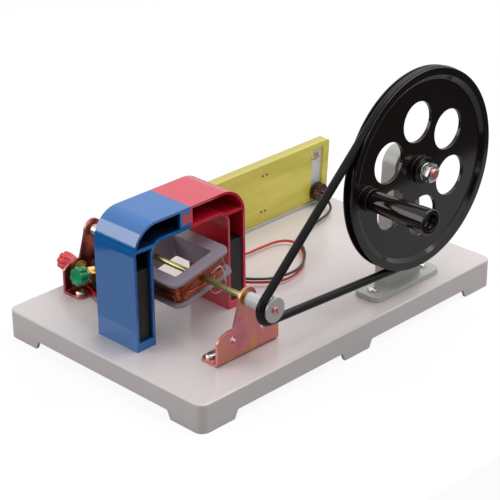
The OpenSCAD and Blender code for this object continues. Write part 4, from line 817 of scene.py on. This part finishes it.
def pack_path(settings, side):
    """Middle line of one pack's wire: turns climb a layer and come back down on the next one.

    Next to the axle the turns stand apart from it, which opens the V between the two packs.
    """
    wire = settings.wire
    steps = TURN_POINTS * settings.turns
    rise = np.arange(steps) / steps
    parts = []
    for layer in range(settings.layers):
        out = wire * (layer + 0.5) + BOBBIN_SLACK
        loop = rounded_loop(CORE_HALF[0] + out, CORE_HALF[1] + out, CORE_CORNER + out, TURN_POINTS)
        xy = np.tile(loop, (settings.turns, 1))
        up = rise if layer % 2 == 0 else 1 - rise
        spread = np.clip(1 - (xy[:, 0] / AXLE_SPREAD) ** 2, 0, 1) ** 2
        near = PACK_START + (PACK_AT_AXLE - PACK_START) * spread
        parts.append(np.column_stack([xy, side * (near + (PACK_END - near) * up)]))
    return np.concatenate(parts)


class GENERATOR_OT_winding(bpy.types.Operator):
    """Winds the copper wire on the bobbin in two packs, one on each side of the axle."""
    bl_idname = "generator.winding"
    bl_label = "Winding"

    def execute(self, context):
        winding = context.scene.generator_winding
        cos_tilt, sin_tilt = math.cos(winding.tilt), math.sin(winding.tilt)
        packs = []
        for side in (-1, 1):
            x, y, z = pack_path(winding, side).T
            turned_x, turned_z = x * cos_tilt + z * sin_tilt, z * cos_tilt - x * sin_tilt
            line = ROTOR + np.column_stack([turned_x, y + BOBBIN_Y, turned_z])
            packs.append((tube(line, winding.wire / 2, sides=8), False, True))
        mesh = make_mesh("wound_wire", packs)
        add_piece("wound_wire", mesh, "rotor", "copper", MATERIALS["copper"], "coil_winding")
        return {"FINISHED"}


# Knobs

def reach_along(node, axis):
    """Lowest and highest place of a CAD part along an axis."""
    mesh = frame["nodes"][node].data
    flat = np.empty(len(mesh.vertices) * 3)
    mesh.vertices.foreach_get("co", flat)
    far = flat.reshape(-1, 3) @ axis
    return far.min(), far.max()


class GENERATOR_OT_knobs(bpy.types.Operator):
    """Makes the two knobs: a cone that widens to a band of lobes, with a dished face."""
    bl_idname = "generator.knobs"
    bl_label = "Terminal knobs"

    def execute(self, context):
        knobs = context.scene.generator_knobs
        for node, joint, slot in (("green_knob", "green_knob_turn", "green_knob_plastic"),
                                  ("red_knob", "red_knob_turn", "red_knob_plastic")):
            axis = unit(np.array(JOINTS[joint]["axis"], float))
            on_axis = np.array(JOINTS[joint]["pos_m"])
            low, high = reach_along(node, axis)
            along, radius = self.surface(knobs, high - low)
            grid = turned(along, radius, on_axis + axis * (low - on_axis @ axis), axis)
            mesh = make_mesh(node + "_fluted", [(grid, False, True)])
            add_piece(node + "_fluted", mesh, BODY_OF[node], slot, MATERIALS[slot], node)
        return {"FINISHED"}

    def surface(self, knobs, length):
        """Rings of a knob, at each place along its axis and each angle round it.

        A ring's radius is the profile's, less the flute's depth times (1 - |sin(lobes angle / 2)|) ** 1.2,
        which counts fully at the rim and not at all at the neck.
        """
        outer, neck, bore = knobs.diameter / 2, knobs.neck / 2, knobs.bore / 2
        bottom = length - knobs.cap
        edge = 0.9 * MM
        dish = outer * 0.62
        profile = rounded_profile([
            (bottom, 0, 0), (bottom, bore, 0), (0, bore, 0), (0, neck, 0.3 * MM),
            (length - knobs.band, outer, 0.8 * MM), (length, outer, edge), (length, dish, 0.4 * MM),
            (length - edge, dish * 0.8, 0.6 * MM), (length - edge, 0, 0)])
        angle = np.linspace(0, 2 * math.pi, 160, endpoint=False)
        valley = (1 - np.abs(np.sin(knobs.lobes * angle / 2))) ** 1.2
        full = np.clip((profile[:, 1] - neck) / (outer - neck), 0, 1)
        return profile[:, 0], profile[:, 1:] - knobs.flute * full[:, None] * valley[None, :]


# Parts carried over from the solids

def finish_of(node):
    """Name of a part's material: that of its slot, unless the part has a finish of its own."""
    return OWN_FINISH.get(node, SLOT_OF[node])


class GENERATOR_OT_finishes(bpy.types.Operator):
    """Gives every carried-over part its finish."""
    bl_idname = "generator.finishes"
    bl_label = "Finishes"

    def execute(self, context):
        MATERIALS.update(make_materials(context.scene.generator_colours))
        for name, piece in frame["nodes"].items():
            piece.data.materials.clear()
            piece.data.materials.append(MATERIALS[finish_of(name)])
        return {"FINISHED"}


def rounder_corners(shape, node, old, new):
    """Takes a tray's upright corners from one radius in plan to a larger one.

    A point that lies some way inside the old outline comes to lie as far inside the new one: it moves
    towards the middle of the new corner's arc until its distance from there is new less that way.
    Before that, cuts at new and at 0.8 times new from each side give the walls the points that move.
    """
    low, high = box(node)
    middle, half = (low + high) / 2, (high - low) / 2
    for axis in np.eye(3)[:2]:
        for cut in (-new, -0.8 * new, 0.8 * new, new):
            place = middle + axis * (math.copysign(half @ axis, cut) - cut)
            bmesh.ops.bisect_plane(shape, geom=shape.verts[:] + shape.edges[:] + shape.faces[:],
                                   dist=WELD, plane_co=place.tolist(), plane_no=axis.tolist())
    mesh = bpy.data.meshes.new("tray_corners")
    shape.to_mesh(mesh)
    flat = np.empty(len(mesh.vertices) * 3)
    mesh.vertices.foreach_get("co", flat)
    points = flat.reshape(-1, 3)
    off = points[:, :2] - middle[:2]
    out = np.abs(off) - (half[:2] - new)
    past = out - (new - old)
    inset = old - np.linalg.norm(np.maximum(past, 0), axis=1) - np.minimum(past.max(axis=1), 0)
    far = np.maximum(np.linalg.norm(out, axis=1), 1e-9)
    share = np.where((out.min(axis=1) > 0) & (far > new - inset), (new - inset) / far, 1.0)
    points[:, :2] = middle[:2] + np.sign(off) * (half[:2] - new + out * share[:, None])
    mesh.vertices.foreach_set("co", points.ravel())
    shape.clear()
    shape.from_mesh(mesh)
    bpy.data.meshes.remove(mesh)


def soft_copy(node, width, tray_corner):
    """Copy of a CAD part with its triangles joined to flat faces and its sharp edges rounded."""
    shape = bmesh.new()
    shape.from_mesh(frame["nodes"][node].data)
    bmesh.ops.remove_doubles(shape, verts=shape.verts, dist=SOLID_WELD)
    bmesh.ops.dissolve_limit(shape, angle_limit=FLAT_ANGLE, verts=shape.verts, edges=shape.edges,
                             delimit=set())
    if node == "base_tray":
        rounder_corners(shape, node, TRAY_CORNER, tray_corner)
    shape.normal_update()
    for edge in shape.edges:
        edge.smooth = edge.calc_face_angle(0) < SHARP_ANGLE
    for face in shape.faces:
        face.smooth = True
    mesh = bpy.data.meshes.new(node + "_soft")
    shape.to_mesh(mesh)
    shape.free()
    finish = MATERIALS[finish_of(node)]
    piece = add_piece(node + "_soft", mesh, BODY_OF[node], SLOT_OF[node], finish, node)
    bevel = piece.modifiers.new("rounded_edges", "BEVEL")
    bevel.width = width
    bevel.segments = 3
    bevel.limit_method = "ANGLE"
    bevel.angle_limit = SHARP_ANGLE
    bevel.harden_normals = True


class GENERATOR_OT_soft_edges(bpy.types.Operator):
    """Rounds the edges of the moulded, pressed and cast pieces."""
    bl_idname = "generator.soft_edges"
    bl_label = "Rounded edges"

    def execute(self, context):
        edges = context.scene.generator_edges
        for node, slot in SLOT_OF.items():
            if slot in ROUNDING and node not in REMADE + SHARP:
                soft_copy(node, ROUNDING[slot] * MM * edges.scale, edges.tray_corner)
        return {"FINISHED"}


# Stage

def floor_material():
    """Matt floor that is white where the camera sees it, with the shadow kept, and dim as a light."""
    f = Finish("floor_white", (0.9, 0.9, 0.9), 0.9)
    f.set("Specular IOR Level", 0.0)
    f.set("Base Color", f.mix(f.seen(0.0), (0.35, 0.35, 0.35), (0.97, 0.97, 0.97)))
    glow = f.node("ShaderNodeEmission", None, {"Color": (1, 1, 1), "Strength": 1.0})
    mixed = f.node("ShaderNodeMixShader", None,
                   {0: f.seen(0.3) * 0.92, 1: Sock(f, f.shader.outputs[0]), 2: glow})
    f.plug(f.tree.nodes["Material Output"].inputs["Surface"], mixed)
    return f.material


def make_world(light):
    """White for what the camera sees, itself or in gloss and glass, and a softer light for the rest."""
    world = bpy.data.worlds.new("studio")
    world.use_nodes = True
    w = Nodes(world.node_tree)
    soft, white = (w.node("ShaderNodeBackground", None, {"Color": (1, 1, 1), "Strength": strength})
                   for strength in (light, 1.0))
    mixed = w.node("ShaderNodeMixShader", None, {0: w.seen(), 1: soft, 2: white})
    w.plug(w.tree.nodes["World Output"].inputs["Surface"], mixed)
    bpy.context.scene.world = world


# Name, place, size in metres and power in watts of each lamp
LAMPS = [
    ("top_softbox", (0.55, -0.2, 1.35), 1.4, 18.5),
    ("left_softbox", (-1.35, 1.0, 0.8), 1.1, 9.2),
    ("rim_lamp", (0.1, -0.95, 1.1), 0.15, 1.0),
]
# Name, middle, half of each side, and whether it dims the light too, of each black card
FLAGS = [
    ("front_floor_flag", (0.35, -0.8, 0.002), (0.8, 0, 0), (0, 0.55, 0), True),
    ("left_floor_flag", (-0.56, 0.56, 0.002), (0.6, 0.6, 0), (-0.354, 0.354, 0), False),
    ("left_wall_flag", (-0.92, 0.92, 0.0), (0.6, 0.6, 0), (0, 0, 0.16), False),
    ("camera_flag", (-1.3, -1.3, 0.8), (0.6, -0.6, 0), (0, 0, 0.6), False),
]


class GENERATOR_OT_stage(bpy.types.Operator):
    """Lays the floor, hangs the lamps and places the camera."""
    bl_idname = "generator.stage"
    bl_label = "Stage"

    def execute(self, context):
        stage = context.scene.generator_stage
        half = stage.floor_size / 2
        mesh = bpy.data.meshes.new("floor")
        mesh.from_pydata([(-half, -half, 0), (half, -half, 0), (half, half, 0), (-half, half, 0)],
                         [], [(0, 1, 2, 3)])
        floor = bpy.data.objects.new("floor", mesh)
        context.scene.collection.objects.link(floor)
        mesh.materials.append(floor_material())
        make_world(stage.sky_light)
        self.hang_lamps(context)
        self.hang_flags(context)
        self.place_camera(context, stage)
        return {"FINISHED"}

    def hang_lamps(self, context):
        """Square lamps that face the object's origin."""
        for name, place, size, power in LAMPS:
            lamp = bpy.data.lights.new(name, "AREA")
            lamp.shape = "SQUARE"
            lamp.size = size
            lamp.energy = power
            holder = bpy.data.objects.new(name, lamp)
            turn = (-Vector(place)).to_track_quat("-Z", "Y").to_matrix()
            holder.matrix_world = Matrix.Translation(place) @ turn.to_4x4()
            context.scene.collection.objects.link(holder)

    def hang_flags(self, context):
        """Black cards, unseen by the camera, that glossy pieces mirror as the studio's dark side."""
        black = Finish("flag_black", (0.01, 0.01, 0.01), 0.9)
        black.bump(black.noise(black.place(), 40), 0.0001)
        for name, middle, across, up, dims in FLAGS:
            corners = [np.add(middle, np.multiply(across, i) + np.multiply(up, j)).tolist()
                       for i, j in ((-1, -1), (1, -1), (1, 1), (-1, 1))]
            mesh = bpy.data.meshes.new(name)
            mesh.from_pydata(corners, [], [(0, 1, 2, 3)])
            mesh.materials.append(black.material)
            flag = bpy.data.objects.new(name, mesh)
            context.scene.collection.objects.link(flag)
            flag.visible_camera = False
            flag.visible_shadow = False
            flag.visible_diffuse = dims

    def place_camera(self, context, stage):
        """Turns the camera so that it looks along yaw and pitch, rolled about that line."""
        yaw, pitch, roll = stage.camera_yaw, stage.camera_pitch, stage.camera_roll
        ahead = np.array([math.sin(yaw) * math.cos(pitch), math.cos(yaw) * math.cos(pitch),
                          -math.sin(pitch)])
        right = unit(np.cross(ahead, (0, 0, 1)))
        up = np.cross(right, ahead)
        across = math.cos(roll) * right + math.sin(roll) * up
        above = math.cos(roll) * up - math.sin(roll) * right
        data = bpy.data.cameras.new("photo_camera")
        data.lens = stage.camera_lens
        data.sensor_width = 36.0
        data.clip_start = 0.05
        data.clip_end = 40
        camera = bpy.data.objects.new("photo_camera", data)
        turn = Matrix(np.stack([across, above, -ahead], axis=1).tolist())
        camera.matrix_world = Matrix.Translation(stage.camera_place) @ turn.to_4x4()
        context.scene.collection.objects.link(camera)
        context.scene.camera = camera


# Panel and start

class GENERATOR_PT_panel(bpy.types.Panel):
    """Lists the operators that make the pieces, and the settings."""
    bl_label = "Hand crank generator"
    bl_idname = "GENERATOR_PT_panel"
    bl_space_type = "VIEW_3D"
    bl_region_type = "UI"
    bl_category = "Generator"

    def draw(self, context):
        for operator in OPERATORS:
            self.layout.operator(operator.bl_idname)
        for group in SETTINGS:
            settings = getattr(context.scene, group)
            for key in SETTINGS[group].__annotations__:
                self.layout.prop(settings, key)


SETTINGS = {"generator_stage": StageSettings, "generator_colours": ColourSettings,
            "generator_edges": EdgeSettings, "generator_winding": WindingSettings,
            "generator_knobs": KnobSettings, "generator_leads": LeadSettings,
            "generator_tails": TailSettings, "generator_belt": BeltSettings}
OPERATORS = (GENERATOR_OT_finishes, GENERATOR_OT_stage, GENERATOR_OT_soft_edges, GENERATOR_OT_winding,
             GENERATOR_OT_knobs, GENERATOR_OT_leads, GENERATOR_OT_loose_ends, GENERATOR_OT_belt)


def register():
    """Makes the settings, operators and panel known to Blender."""
    for group in SETTINGS.values():
        bpy.utils.register_class(group)
    for cls in OPERATORS + (GENERATOR_PT_panel,):
        bpy.utils.register_class(cls)
    for name, group in SETTINGS.items():
        setattr(bpy.types.Scene, name, PointerProperty(type=group))


def unregister():
    """Takes them out again."""
    for name in SETTINGS:
        delattr(bpy.types.Scene, name)
    for cls in (GENERATOR_PT_panel,) + OPERATORS[::-1]:
        bpy.utils.unregister_class(cls)
    for group in SETTINGS.values():
        bpy.utils.unregister_class(group)


def main():
    """Makes every piece in order."""
    register()
    bpy.context.scene.view_settings.view_transform = "Standard"
    for operator in OPERATORS:
        family, name = operator.bl_idname.split(".")
        getattr(getattr(bpy.ops, family), name)()


if __name__ == "__main__":
    main()
